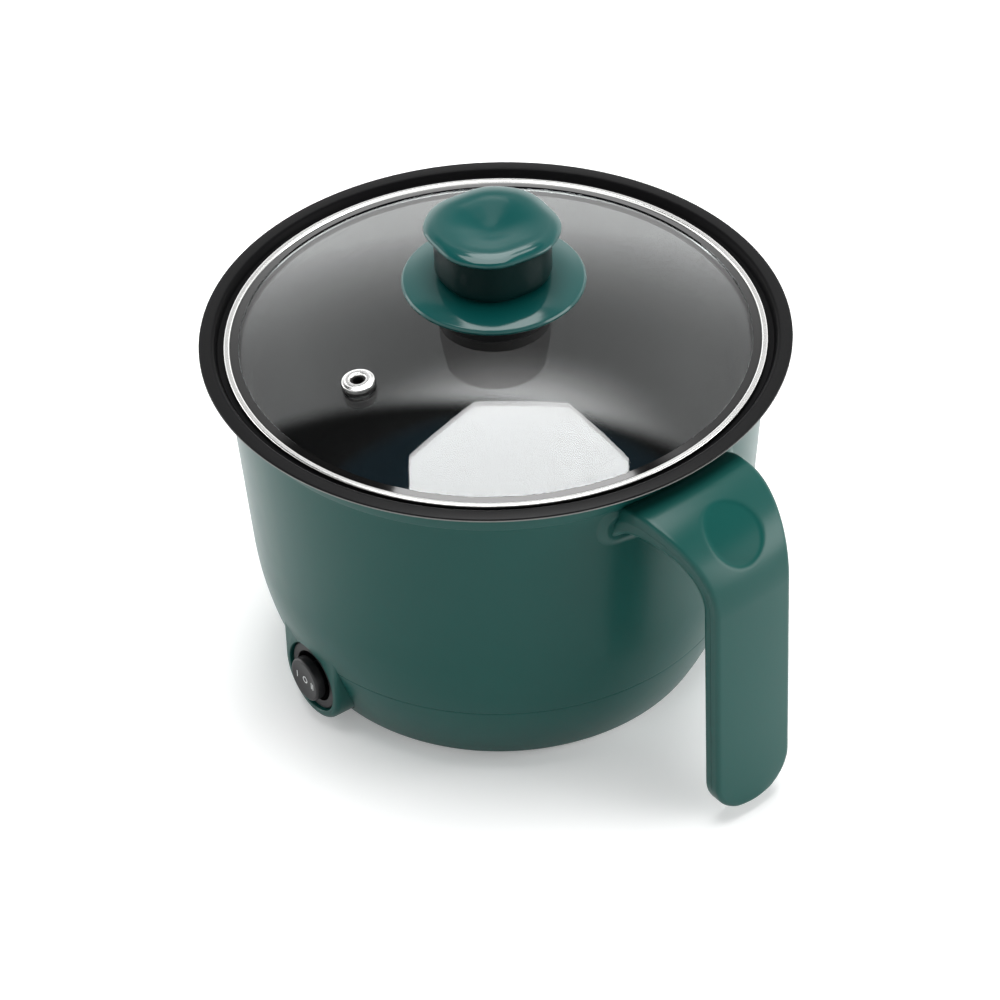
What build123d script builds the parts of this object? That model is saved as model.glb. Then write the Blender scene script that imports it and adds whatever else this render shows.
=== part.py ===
"""Electric travel pot: a non-stick pot in a tapered plastic housing, a lift-off glass lid and a strap handle.

Millimetres, +Z up. The origin is on the table under the pot's axis, and +X points along the handle.
"""
import os
from math import cos, radians, sin, sqrt, tan

from build123d import *

# General fits
overrun = 2.0                 # how far a cut runs past what it cuts
slip_gap = 0.3                # clear space between pieces that move apart
mould_gap = 0.2               # clear space round pieces that drop into one another
seat_gap = 0.05               # clear space between curved faces that lie on one another

# Housing, seen in section
housing_height = 120.1        # top edge of the lip under the rim
lip_top_radius = 91.0
lip_height = 6.1
lip_flare = 1.9               # the lip grows by this much from the wall to its top
lip_step = 0.5
wall = 2.2
wall_draft = 4.2              # degrees
foot_height = 1.5             # the base stands this far off the table, on its feet
seam_height = 28.6            # parting line between housing and base cover
break_rise = 21.4              # from the seam up to the end of the straight wall
base_inset = 20.9             # from the lip's top in to the base's edge
tongue_height = 3.0           # the base cover's tongue inside the seam

# Pot
pot_wall = 1.4
rim_gasket_height = 1.0
rim_drop = 2.9                # the ledge that carries the lid lies this far below the rim
flange_reach = 6.5            # beyond the housing's lip
flange_width = 4.7
flange_round = 2.0
funnel_width = 1.4
recess_round = 0.8
ledge_width = 4.2
ledge_round = 2.5
neck_depth = 13.0             # from the ledge down to the bend of the neck
neck_room = 5.5               # between the neck and the housing's inner face
neck_bend = 20.0
pot_taper = 7.4
pot_floor_rise = 7.4          # from the seam up to the pot's floor
pot_corner = 14.0

# Lid
lid_gap = 1.5                 # between the lid's edge and the recess
hem_width = 2.2               # bright folded hem at the edge of the band
hem_height = 1.2
band_sheet = 0.5
skirt_gap = 1.8               # between the band's skirt and the ledge
skirt_depth = 2.9             # the band's skirt hangs this far below the ledge
skirt_foot_width = 2.8
glass_thickness = 3.2
glass_rise = 7.5              # from the glass's edge to its crown
glass_hole_radius = 4.0
vent_circle_share = 0.636     # of the glass's radius
hem_round_share = 1 / 3
seal_share = 0.6              # of the hem's rise over the sheet
vent_angle = -94.4            # degrees from the handle
vent_bore_radius = 2.25
vent_neck_wall = 1.15
vent_collar = 2.3             # the eyelet's head stands out this far round its neck
vent_stand = 1.6
vent_washer = 0.8
vent_washer_margin = 0.6
vent_flare = 1.2

# Knob
stem_radius = 19.4
stem_height = 14.8
collar_inset = 0.8            # the collar under the finger guard is this much slimmer than the stem
collar_height = 11.7
collar_taper = 1.0
knob_gasket_height = 3.7      # above the glass at the gasket's edge
guard_reach = 11.0            # finger guard beyond the stem
guard_height = 5.0
guard_edge = 2.4
guard_edge_shares = (1 / 2, 1 / 3, 2 / 3)    # corners of the guard's blunt edge
guard_crown_share = 2 / 3     # of the guard's rise, half way out
guard_dish = 0.9              # the guard's edge hangs this far below its seat
grip_overhang = 3.0           # lip beyond the stem
grip_lip = 3.3
grip_round = 2.4               # the lip's rounded crown stands this far above its straight edge
grip_under = 0.6               # half of the rise of the lip's slanted underside
dish_depth = 3.2
dish_rim = 6.0
lobe_count = 4
lobe_angle = -2.9             # degrees from the handle to the first hollow between lobes
lobe_cutter_radius = 34.0
lip_bite = 1.7                # depth of the hollows in the lip
stem_bite = 0.8               # and in the stem
knob_screw_radius = 2.5
knob_screw_head_margin = 2.5
knob_screw_head = 3.0
knob_screw_grip = 8.0         # length of thread inside the grip
knob_washer_margin = 4.0      # the washer is this much larger than the screw's head
knob_washer_thickness = 1.0

# Switch
switch_angle = -93.6          # degrees from the handle
switch_face_inset = 0.4       # the flat face lies this far inside the wall at the seam
bezel_radius = 12.3
bezel_thickness = 2.0
bezel_margin = 0.3            # gap between the bezel and its recess
bezel_land = 2.3              # the bezel's overlap on the panel
switch_recess = 3.0
switch_panel = 2.0
boss_land = 3.0               # flat face left round the recess
boss_run_up = 11.4            # the flat face runs this far up past the end of the straight wall
boss_skirt = 10.0             # depth of the boss behind its panel
boss_wall = 2.2
boss_round = 1.8
barrel_wall = 0.8
barrel_floor = 5.0
rocker_play = 1.4             # round the paddle, so that it can turn
rocker_reach = 4.0            # in front of the bezel
rocker_round = 0.6
rocker_neck_width_share = 0.64
rocker_neck_height_share = 0.79
rocker_hub_radius = 3.5
pivot_depth = 7.0             # behind the bezel's face
pivot_room = 6.0              # from the pivot to the floor of its well
pivot_pin_radius = 1.5
pivot_gap = 0.05
terminal_count = 3
terminal_pitch_share = 0.6    # of the barrel's radius
terminal_width_share = 0.48
terminal_thickness = 0.8
terminal_length = 7.0

# Handle, seen from the side
grip_stand = 5.5              # the crest stands this far out from the lip
grip_crest_drop = 1.7         # and this far below the housing's top edge
grip_bend_radius = 30.0
grip_lean = 1.7               # the strap's foot stands out this far beyond its bend
grip_tip_height = 4.2
grip_thickness = 7.8
grip_split_share = 0.54       # the outer shell's share of that thickness
grip_root_half = 22.5
grip_strap_half = 15.9
grip_tip_corner = 13.5
grip_edge_round = 2.6
grip_root_drop = 1.2          # the root's upper edge lies this far below the lip
cover_setback = 1.6           # the inner cover ends this far above the outer shell's tip
pad_half_angle = 19.3         # degrees
pad_drop = 0.8                # the root pad lies this far below the lip
pad_height = 11.4
pad_thickness = 2.2
pad_round = 4.3
pad_margin = 0.6              # the pad reaches this far below the strap's root
thumb_angle = 47.0            # degrees above the strap's outward direction
thumb_radius = 11.0
thumb_depth = 1.0
handle_screw_spread = 11.0
handle_screw_drop = 3.5       # below the lip
handle_screw_radius = 1.5
handle_screw_length = 5.5
handle_screw_head_margin = 0.7
handle_screw_head = 1.0
cover_screw_rise = 17.8       # above the strap's tip
cover_screw_length = 6.0

# Base and what it carries
base_floor = 2.2
stud_count = 3
stud_angle = -30.0
stud_gap = 2.5                # between the heating plate and the studs
stud_length = 10.0
stud_wall = 1.95
post_margin = 1.0             # the base's posts are this much larger than the studs
base_screw_radius = 1.5
base_screw_head_margin = 1.5
base_screw_head = 2.0
base_screw_sink = 5.0         # depth of the screw well in the base
base_screw_grip = 6.0         # length of thread inside the stud
foot_count = 4
foot_inset = 7.1              # between the feet and the base's edge
foot_radius = 6.0
foot_seat = 1.0               # depth of the foot's seat in the base
foot_round = 0.7
slot_count = 12
slot_circle = 30.0
slot_length = 22.0
slot_width = 3.0
gland_bore_radius = 3.5
gland_bush_wall = 2.0
gland_collar = 2.0            # flange beyond the bush
gland_nut_margin = 2.3
gland_pad_margin = 1.5        # pad beyond the flange
gland_pad_depth = 8.0
gland_pad_rise = 3.5          # from the base's underside up to the pad
gland_stand = 0.5
gland_flange = 2.0
gland_nut = 3.0

# Heater under the pot
plate_margin = 10.0           # flat of the pot's floor left round the plate
plate_thickness = 6.0
heater_circle_share = 0.74    # of the plate's radius
heater_radius = 3.3
heater_arc = 300.0            # degrees
heater_start = 45.0           # degrees
heater_pin_radius = 1.8
heater_pin_length = 14.0
shield_thickness = 0.6
shield_margin = 1.5           # beyond the studs
shield_hole_margin = 6.0      # round the thermostat's bridge
thermostat_radius = 8.0
thermostat_height = 8.0
bracket_width = 12.0
bracket_sheet = 1.0
bracket_share = 0.57          # half of the bridge's length, of the heater's radius
fuse_radius = 2.0
fuse_length = 12.0
fuse_share = 0.65             # the fuse's place, of the heater's radius
block_length = 26.0
block_width = 16.0
block_height = 11.0
block_hole_radius = 2.0
block_hole_count = 3
block_pitch_share = 0.31      # of the block's length
block_setback = 34.0          # behind the pot's axis

# Housing and pot, worked out from the sizes above
lip_foot_height = housing_height - lip_height
lip_foot_radius = lip_top_radius - lip_flare
break_height = seam_height + break_rise
base_edge_radius = lip_top_radius - base_inset
ledge_height = housing_height + rim_gasket_height + pot_wall
rim_height = ledge_height + rim_drop
flange_radius = lip_top_radius + flange_reach
flange_inner_radius = flange_radius - flange_width
recess_radius = flange_inner_radius - funnel_width
ledge_radius = recess_radius - ledge_width
neck_height = ledge_height - neck_depth
neck_radius = lip_foot_radius - wall - neck_room
pot_floor_height = seam_height + pot_floor_rise
pot_floor_radius = neck_radius - pot_taper
pot_underside = pot_floor_height - pot_wall

# Lid and knob
lid_radius = recess_radius - lid_gap
skirt_radius = ledge_radius - skirt_gap
vent_neck_radius = vent_bore_radius + vent_neck_wall
vent_outer_radius = vent_neck_radius + vent_collar
collar_radius = stem_radius - collar_inset
guard_radius = stem_radius + guard_reach
grip_radius = stem_radius + grip_overhang
knob_screw_head_radius = knob_screw_radius + knob_screw_head_margin
knob_washer_radius = knob_screw_head_radius + knob_washer_margin

# Switch
switch_hole_radius = bezel_radius + bezel_margin
boss_radius = switch_hole_radius + boss_land
boss_depth = switch_recess + switch_panel + boss_skirt
switch_height = foot_height + boss_radius
boss_rise = break_height + boss_run_up - switch_height
switch_body_radius = bezel_radius - bezel_land
rocker_opening_radius = switch_body_radius - barrel_wall
rocker_radius = rocker_opening_radius - rocker_play
rocker_neck_width = 2 * rocker_radius * rocker_neck_width_share
rocker_neck_height = 2 * rocker_radius * rocker_neck_height_share
rocker_well = pivot_depth + pivot_room
switch_body_length = rocker_well + barrel_floor - bezel_thickness - switch_panel
terminal_pitch = switch_body_radius * terminal_pitch_share
terminal_width = switch_body_radius * terminal_width_share

# Handle
grip_crest_reach = lip_top_radius + grip_stand
grip_crest_height = housing_height - grip_crest_drop
grip_split = grip_thickness * grip_split_share
pad_top_height = lip_foot_height - pad_drop
pad_low_height = pad_top_height - pad_height
grip_root_height = pad_low_height + pad_margin
handle_screw_height = lip_foot_height - handle_screw_drop
handle_screw_head_radius = handle_screw_radius + handle_screw_head_margin
cover_screw_height = grip_tip_height + cover_screw_rise

# Base and heater
floor_top = foot_height + base_floor
plate_radius = pot_floor_radius - pot_corner - plate_margin
plate_underside = pot_underside - plate_thickness
heater_circle = plate_radius * heater_circle_share
bracket_half_length = heater_circle * bracket_share
fuse_offset = heater_circle * fuse_share
stud_radius = base_screw_radius + seat_gap + stud_wall
stud_circle = plate_radius + stud_gap + stud_radius
post_radius = stud_radius + post_margin
shield_top = pot_underside - stud_length
shield_height = shield_top - shield_thickness
shield_radius = stud_circle + stud_radius + shield_margin
shield_hole_radius = bracket_half_length + shield_hole_margin
base_screw_head_radius = base_screw_radius + base_screw_head_margin
foot_circle = base_edge_radius - foot_inset - foot_radius
gland_body_radius = gland_bore_radius + gland_bush_wall
gland_flange_radius = gland_body_radius + gland_collar
gland_pad_radius = gland_flange_radius + gland_pad_margin
gland_nut_radius = gland_body_radius + gland_nut_margin
gland_height = foot_height + gland_pad_rise + gland_pad_radius
block_pitch = block_length * block_pitch_share

# The wall's lower curve is an arc that leaves the straight wall smoothly and ends at the base's edge.
break_radius = lip_foot_radius - (lip_foot_height - break_height) * tan(radians(wall_draft))
wall_in = (-cos(radians(wall_draft)), sin(radians(wall_draft)))
wall_drop = (base_edge_radius - break_radius, foot_height - break_height)
curve_radius = (wall_drop[0] ** 2 + wall_drop[1] ** 2) / (
    2 * (wall_drop[0] * wall_in[0] + wall_drop[1] * wall_in[1])
)
curve_reach = break_radius + curve_radius * wall_in[0]
curve_height = break_height + curve_radius * wall_in[1]


def wall_radius(height, inset=0.0):
    """Radius of the housing's surface at a height, or of a face that lies inset inside it."""
    if height < break_height + inset * wall_in[1]:
        return curve_reach + sqrt((curve_radius - inset) ** 2 - (height - curve_height) ** 2)
    rise = height - break_height
    return break_radius + rise * tan(radians(wall_draft)) - inset / cos(radians(wall_draft))


def wall_point(height, inset=0.0):
    """The same surface as a point of the section."""
    return (wall_radius(height, inset), height)


def wall_curve(low, high, inset=0.0):
    """Arc of the lower curve between two heights."""
    middle = (low + high) / 2
    return ThreePointArc(wall_point(low, inset), wall_point(middle, inset), wall_point(high, inset))


def export(builder, name):
    """Label a finished piece and write it."""
    builder.part.label = name
    export_step(builder.part, f"parts/{name}.step")


os.makedirs("parts", exist_ok=True)

# The switch looks out of a flat face: x runs along the wall, y up and z outwards.
switch_out = (cos(radians(switch_angle)), sin(radians(switch_angle)), 0)
switch_along = (-sin(radians(switch_angle)), cos(radians(switch_angle)), 0)
switch_face = wall_radius(seam_height) - switch_face_inset
switch_centre = (switch_face * switch_out[0], switch_face * switch_out[1], switch_height)
switch_plane = Plane(origin=switch_centre, x_dir=switch_along, z_dir=switch_out)
panel_plane = switch_plane.offset(-switch_recess)
panel_back = switch_plane.offset(-switch_recess - switch_panel)

# Boss for the switch: a flat face with a round foot and a rounded edge, let into the housing below
with BuildPart() as boss_form:
    with BuildSketch(switch_plane):
        Circle(boss_radius)
        with Locations((0, boss_rise / 2)):
            Rectangle(2 * boss_radius, boss_rise)
    extrude(amount=-boss_depth)
    fillet(boss_form.faces().sort_by(Axis((0, 0, 0), switch_out))[-1].edges(), boss_round)

# Outer housing: drafted wall with a flared lip, and a boss with a round recess for the switch
with BuildPart() as outer_housing:
    with BuildSketch(Plane.XZ):
        with BuildLine():
            wall_curve(seam_height, break_height)
            Polyline(
                wall_point(break_height),
                (lip_foot_radius, lip_foot_height),
                (lip_foot_radius + lip_step, lip_foot_height + lip_step),
                (lip_top_radius, housing_height),
                (0, housing_height),
                (0, seam_height),
                wall_point(seam_height),
            )
        make_face()
    revolve(axis=Axis.Z)
    add(boss_form.part)
    rebate_top = seam_height + tongue_height + mould_gap
    inner_break = break_height + wall * wall_in[1]
    with BuildSketch(Plane.XZ):
        with BuildLine():
            wall_curve(seam_height, rebate_top, wall / 2)
            Line(wall_point(rebate_top, wall / 2), wall_point(rebate_top, wall))
            wall_curve(rebate_top, inner_break, wall)
            Polyline(
                wall_point(inner_break, wall),
                wall_point(lip_foot_height, wall),
                (lip_top_radius - wall, housing_height),
                (lip_top_radius - wall, housing_height + overrun),
                (0, housing_height + overrun),
                (0, seam_height),
                wall_point(seam_height, wall / 2),
            )
        make_face()
    revolve(axis=Axis.Z, mode=Mode.SUBTRACT)
    with BuildSketch(panel_back):
        Circle(boss_radius - boss_wall)
    extrude(amount=-boss_depth, mode=Mode.SUBTRACT)
    with BuildSketch(switch_plane):
        Circle(switch_hole_radius)
    extrude(amount=-switch_recess, mode=Mode.SUBTRACT)
    with BuildSketch(switch_plane):
        Circle(switch_body_radius + mould_gap)
    extrude(amount=-boss_depth, mode=Mode.SUBTRACT)
    with BuildSketch(Plane.YZ):
        with Locations((-handle_screw_spread, handle_screw_height), (handle_screw_spread, handle_screw_height)):
            Circle(handle_screw_radius + mould_gap)
    extrude(amount=flange_radius, mode=Mode.SUBTRACT)
export(outer_housing, "outer_housing")

# Base cover: the lower curve as a shell, with its floor, tongue, screw posts, vent slots and gland pad
gland_face = wall_radius(gland_height + gland_pad_radius) + gland_stand
gland_plane = Plane(origin=(-gland_face, 0, gland_height), x_dir=(0, -1, 0), z_dir=(-1, 0, 0))
tongue_inset = wall / 2 + mould_gap
tongue_top = seam_height + tongue_height
with BuildPart() as base_cover:
    with BuildSketch(Plane.XZ):
        with BuildLine():
            Line((0, foot_height), wall_point(foot_height))
            wall_curve(foot_height, seam_height)
            Line(wall_point(seam_height), wall_point(seam_height, tongue_inset))
            wall_curve(seam_height, tongue_top, tongue_inset)
            Line(wall_point(tongue_top, tongue_inset), wall_point(tongue_top, wall))
            wall_curve(floor_top, tongue_top, wall)
            Polyline(wall_point(floor_top, wall), (0, floor_top), (0, foot_height))
        make_face()
    revolve(axis=Axis.Z)
    with BuildSketch(Plane.XY.offset(foot_height)):
        with PolarLocations(stud_circle, stud_count, stud_angle):
            Circle(post_radius)
    extrude(amount=shield_height - foot_height)
    with BuildSketch(gland_plane):
        Circle(gland_pad_radius)
    extrude(amount=-gland_pad_depth)
    with BuildSketch(gland_plane):
        Circle(gland_body_radius + mould_gap)
    extrude(amount=-gland_pad_depth - gland_nut - overrun, mode=Mode.SUBTRACT)
    with BuildSketch(gland_plane.offset(-gland_pad_depth)):
        Circle(gland_nut_radius + mould_gap)
    extrude(amount=-gland_nut - overrun, mode=Mode.SUBTRACT)
    with BuildSketch(switch_plane.offset(overrun)):
        Circle(boss_radius + mould_gap)
        with Locations((0, boss_rise / 2)):
            Rectangle(2 * (boss_radius + mould_gap), boss_rise)
    extrude(amount=-boss_depth - overrun - mould_gap, mode=Mode.SUBTRACT)
    with BuildSketch(Plane.XY.offset(foot_height)):
        with PolarLocations(stud_circle, stud_count, stud_angle):
            Circle(base_screw_radius + mould_gap)
    extrude(amount=shield_height - foot_height, mode=Mode.SUBTRACT)
    with BuildSketch(Plane.XY.offset(foot_height)):
        with PolarLocations(stud_circle, stud_count, stud_angle):
            Circle(base_screw_head_radius + mould_gap)
    extrude(amount=base_screw_sink, mode=Mode.SUBTRACT)
    with BuildSketch(Plane.XY.offset(foot_height)):
        with PolarLocations(foot_circle, foot_count, 360 / foot_count / 2):
            Circle(foot_radius)
    extrude(amount=foot_seat, mode=Mode.SUBTRACT)
    with BuildSketch(Plane.XY.offset(foot_height)):
        with PolarLocations(slot_circle, slot_count):
            SlotOverall(slot_length, slot_width)
    extrude(amount=base_floor, mode=Mode.SUBTRACT)
export(base_cover, "base_cover")

# Feet: soft round pads pressed into their seats
with BuildPart() as feet:
    with BuildSketch():
        with PolarLocations(foot_circle, foot_count, 360 / foot_count / 2):
            Circle(foot_radius)
    extrude(amount=foot_height + foot_seat)
    fillet(feet.edges().filter_by(GeomType.CIRCLE).group_by(Axis.Z)[0], foot_round)
export(feet, "feet")

# Cord gland: flanged bush through the pad, held by a nut inside
with BuildPart() as cord_gland:
    with BuildSketch(gland_plane):
        Circle(gland_flange_radius)
    extrude(amount=gland_flange)
    with BuildSketch(gland_plane):
        Circle(gland_body_radius)
    extrude(amount=-gland_pad_depth - gland_nut)
    with BuildSketch(gland_plane.offset(gland_flange)):
        Circle(gland_bore_radius)
    extrude(amount=-gland_flange - gland_pad_depth - gland_nut, mode=Mode.SUBTRACT)
export(cord_gland, "cord_gland")

with BuildPart() as gland_nut_ring:
    with BuildSketch(gland_plane.offset(-gland_pad_depth)):
        RegularPolygon(gland_nut_radius, 6)
        Circle(gland_body_radius + seat_gap, mode=Mode.SUBTRACT)
    extrude(amount=-gland_nut)
export(gland_nut_ring, "gland_nut")

# Inner pot: one spun sheet from the floor up to the ledge, the recess wall and the flat flange
with BuildPart() as inner_pot:
    with BuildSketch(Plane.XZ):
        with BuildLine():
            FilletPolyline(
                (0, pot_floor_height),
                (pot_floor_radius, pot_floor_height),
                (neck_radius, neck_height),
                (ledge_radius, ledge_height),
                (recess_radius, ledge_height),
                (flange_inner_radius, rim_height),
                (flange_radius, rim_height),
                radius=[pot_corner, neck_bend, ledge_round, recess_round, flange_round],
            )
            offset(amount=pot_wall, side=Side.RIGHT)
        make_face()
    revolve(axis=Axis.Z)
export(inner_pot, "inner_pot")

# Rim gasket: flat ring between the ledge's underside and the housing's top edge
with BuildPart() as rim_gasket:
    with BuildSketch(Plane.XY.offset(housing_height)):
        Circle(lip_top_radius - mould_gap)
        Circle(lip_top_radius - wall, mode=Mode.SUBTRACT)
    extrude(amount=rim_gasket_height)
export(rim_gasket, "rim_gasket")

# Heating plate, with the groove that the heating tube lies in
with BuildPart() as heating_plate:
    with BuildSketch(Plane.XY.offset(plate_underside)):
        Circle(plate_radius)
    extrude(amount=plate_thickness)
    with BuildSketch(Plane.XZ):
        with Locations((heater_circle, plate_underside)):
            Circle(heater_radius + seat_gap)
    revolve(axis=Axis.Z, mode=Mode.SUBTRACT)
export(heating_plate, "heating_plate")

# Heating tube: an open ring with two pins that turn down through the shield
pin_angles = (heater_start, heater_start + heater_arc)
with BuildPart() as heating_tube:
    start_plane = Plane.XZ.rotated((0, 0, heater_start))
    with BuildSketch(start_plane):
        with Locations((heater_circle, plate_underside)):
            Circle(heater_radius)
    revolve(axis=Axis.Z, revolution_arc=heater_arc)
    pin_places = [Vector(heater_circle, 0, 0).rotate(Axis.Z, angle) for angle in pin_angles]
    with BuildSketch(Plane.XY.offset(plate_underside)):
        with Locations(*pin_places):
            Circle(heater_pin_radius)
    extrude(amount=-heater_pin_length)
export(heating_tube, "heating_tube")

# Studs welded under the pot: the base screws pull the base, the housing and the pot together
with BuildPart() as pot_studs:
    with BuildSketch(Plane.XY.offset(shield_top)):
        with PolarLocations(stud_circle, stud_count, stud_angle):
            Circle(stud_radius)
            Circle(base_screw_radius + seat_gap, mode=Mode.SUBTRACT)
    extrude(amount=pot_underside - shield_top)
export(pot_studs, "pot_studs")

with BuildPart() as base_screws:
    with BuildSketch(Plane.XY.offset(foot_height + base_screw_sink)):
        with PolarLocations(stud_circle, stud_count, stud_angle):
            Circle(base_screw_head_radius)
    extrude(amount=-base_screw_head)
    with BuildSketch(Plane.XY.offset(foot_height + base_screw_sink)):
        with PolarLocations(stud_circle, stud_count, stud_angle):
            Circle(base_screw_radius)
    extrude(amount=shield_top + base_screw_grip - foot_height - base_screw_sink)
export(base_screws, "base_screws")

# Heat shield: thin disc clamped between posts and studs
with BuildPart() as heat_shield:
    with BuildSketch(Plane.XY.offset(shield_height)):
        Circle(shield_radius)
        Circle(shield_hole_radius, mode=Mode.SUBTRACT)
        with PolarLocations(stud_circle, stud_count, stud_angle):
            Circle(base_screw_radius + mould_gap, mode=Mode.SUBTRACT)
        with Locations(*pin_places):
            Circle(heater_radius + mould_gap, mode=Mode.SUBTRACT)
    extrude(amount=shield_thickness)
    with BuildSketch(panel_back):
        Circle(switch_body_radius + overrun)
    extrude(amount=-switch_body_length - terminal_length - overrun, mode=Mode.SUBTRACT)
export(heat_shield, "heat_shield")

# Thermostat pressed to the plate by a bridge, with the thermal fuse beside it
with BuildPart() as thermostat:
    with BuildSketch(Plane.XY.offset(plate_underside)):
        Circle(thermostat_radius)
    extrude(amount=-thermostat_height)
export(thermostat, "thermostat")

bridge_low = plate_underside - thermostat_height - bracket_sheet
with BuildPart() as thermostat_bracket:
    with BuildSketch(Plane.XZ):
        with BuildLine():
            Polyline(
                (-bracket_half_length, plate_underside),
                (-bracket_half_length, bridge_low),
                (bracket_half_length, bridge_low),
                (bracket_half_length, plate_underside),
            )
            offset(amount=bracket_sheet, side=Side.LEFT)
        make_face()
    extrude(amount=bracket_width / 2, both=True)
export(thermostat_bracket, "thermostat_bracket")

with BuildPart() as thermal_fuse:
    with BuildSketch(Plane.YZ):
        with Locations((fuse_offset, plate_underside - fuse_radius)):
            Circle(fuse_radius)
    extrude(amount=fuse_length / 2, both=True)
export(thermal_fuse, "thermal_fuse")

# Terminal block on the base's floor
with BuildPart() as terminal_block:
    with BuildSketch(Plane.XY.offset(floor_top)):
        with Locations((-block_setback, 0)):
            Rectangle(block_width, block_length)
    extrude(amount=block_height)
    with BuildSketch(Plane.YZ.offset(-block_setback - block_width / 2)):
        with Locations((0, floor_top + block_height / 2)):
            with GridLocations(block_pitch, 0, block_hole_count, 1):
                Circle(block_hole_radius)
    extrude(amount=block_width, mode=Mode.SUBTRACT)
export(terminal_block, "terminal_block")

# Switch body: bezel on the panel, barrel through it and a well for the rocker
bezel_plane = panel_plane.offset(bezel_thickness)
pivot_plane = bezel_plane.offset(-pivot_depth)
pivot_line = Plane(origin=pivot_plane.origin, x_dir=switch_along, z_dir=(0, 0, 1))
barrel_back = panel_back.offset(-switch_body_length)
with BuildPart() as switch_body:
    with BuildSketch(panel_plane):
        Circle(bezel_radius)
    extrude(amount=bezel_thickness)
    with BuildSketch(panel_plane):
        Circle(switch_body_radius)
    extrude(amount=-switch_panel - switch_body_length)
    with BuildSketch(bezel_plane):
        Circle(rocker_opening_radius)
    extrude(amount=-rocker_well, mode=Mode.SUBTRACT)
    with BuildSketch(pivot_line):
        Circle(pivot_pin_radius + pivot_gap)
    extrude(amount=switch_body_radius, both=True, mode=Mode.SUBTRACT)
export(switch_body, "switch_body")

# Rocker: round paddle on a neck, turning on two pins in the barrel
pin_end = switch_body_radius - mould_gap
with BuildPart() as switch_rocker:
    with BuildSketch(bezel_plane.offset(slip_gap)):
        Circle(rocker_radius)
    extrude(amount=rocker_reach - slip_gap)
    paddle_edges = switch_rocker.edges().filter_by(GeomType.CIRCLE)
    fillet(paddle_edges.sort_by(Axis(switch_centre, switch_out))[-1], rocker_round)
    with BuildSketch(bezel_plane.offset(slip_gap)):
        Rectangle(rocker_neck_width, rocker_neck_height)
    extrude(amount=-slip_gap - pivot_depth)
    with BuildSketch(pivot_line):
        Circle(rocker_hub_radius)
    extrude(amount=rocker_neck_height / 2, both=True)
    with BuildSketch(pivot_line):
        Circle(pivot_pin_radius)
    extrude(amount=pin_end, both=True)
export(switch_rocker, "switch_rocker")

with BuildPart() as switch_terminals:
    with BuildSketch(barrel_back):
        with GridLocations(terminal_pitch, 0, terminal_count, 1):
            Rectangle(terminal_thickness, terminal_width)
    extrude(amount=-terminal_length)
export(switch_terminals, "switch_terminals")

# Handle form: side view cut to its front view, before it is split into two shells
bend_reach = grip_crest_reach + grip_bend_radius
bend_height = grip_crest_height - grip_bend_radius
root_reach = wall_radius(grip_root_height) - wall
root_top = lip_foot_height - grip_root_drop
tip_reach = bend_reach + grip_lean
diagonal = cos(radians(45))


def strap_side(inset_outer, inset_inner, tip_height):
    """Lines of the strap's side view between two insets from its outer surface."""
    root_fall = (root_top - grip_root_height) / grip_thickness
    outer = grip_bend_radius - inset_outer
    inner = grip_bend_radius - inset_inner
    outer_crest = (grip_crest_reach, grip_crest_height - inset_outer)
    inner_crest = (grip_crest_reach, grip_crest_height - inset_inner)
    outer_root = (root_reach, root_top - root_fall * inset_outer)
    inner_root = (root_reach, max(root_top - root_fall * inset_inner, grip_root_height))
    outer_bend = (grip_crest_reach + outer, bend_height)
    inner_bend = (grip_crest_reach + inner, bend_height)
    outer_middle = (grip_crest_reach + outer * diagonal, bend_height + outer * diagonal)
    inner_middle = (grip_crest_reach + inner * diagonal, bend_height + inner * diagonal)
    TangentArc(outer_crest, outer_root, tangent=(-1, 0))
    ThreePointArc(outer_crest, outer_middle, outer_bend)
    tip_lean = grip_lean * (bend_height - tip_height) / (bend_height - grip_tip_height)
    outer_tip = (bend_reach + tip_lean - inset_outer, tip_height)
    inner_tip = (bend_reach + tip_lean - inset_inner, tip_height)
    Polyline(outer_bend, outer_tip, inner_tip, inner_bend)
    ThreePointArc(inner_bend, inner_middle, inner_crest)
    TangentArc(inner_crest, inner_root, tangent=(-1, 0))
    Line(inner_root, outer_root)


with BuildPart() as handle_form:
    with BuildSketch(Plane.XZ):
        with BuildLine():
            strap_side(0, grip_thickness, grip_tip_height)
        make_face()
    extrude(amount=grip_root_half, both=True)
    with BuildSketch(Plane.YZ):
        with BuildLine():
            Polyline((0, rim_height), (0, grip_tip_height), (grip_strap_half, grip_tip_height))
            Line((grip_strap_half, grip_tip_height), (grip_strap_half, bend_height))
            TangentArc((grip_strap_half, bend_height), (grip_root_half, grip_crest_height), tangent=(0, 1))
            Polyline((grip_root_half, grip_crest_height), (grip_root_half, rim_height), (0, rim_height))
        make_face()
        fillet(vertices().group_by(Axis.Y)[0].sort_by(Axis.X)[-1], grip_tip_corner)
        mirror(about=Plane.YZ)
    extrude(amount=tip_reach + overrun, mode=Mode.INTERSECT)
    strap_edges = handle_form.edges().filter_by_position(Axis.X, root_reach + overrun, tip_reach + overrun)
    long_edges = strap_edges.filter_by(Axis.Y, reverse=True).filter_by(Axis.X, reverse=True)
    tip_edges = handle_form.edges().filter_by(Axis.Y).group_by(Axis.Z)[0]
    fillet(long_edges + tip_edges, grip_edge_round)
    with BuildSketch(Plane.XZ):
        with BuildLine():
            Polyline(
                (0, break_height),
                wall_point(break_height, -seat_gap),
                wall_point(lip_foot_height, -seat_gap),
                (lip_foot_radius + lip_step + seat_gap, lip_foot_height + lip_step),
                (lip_top_radius + seat_gap, housing_height),
                (0, housing_height),
                close=True,
            )
        make_face()
    revolve(axis=Axis.Z, mode=Mode.SUBTRACT)

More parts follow.
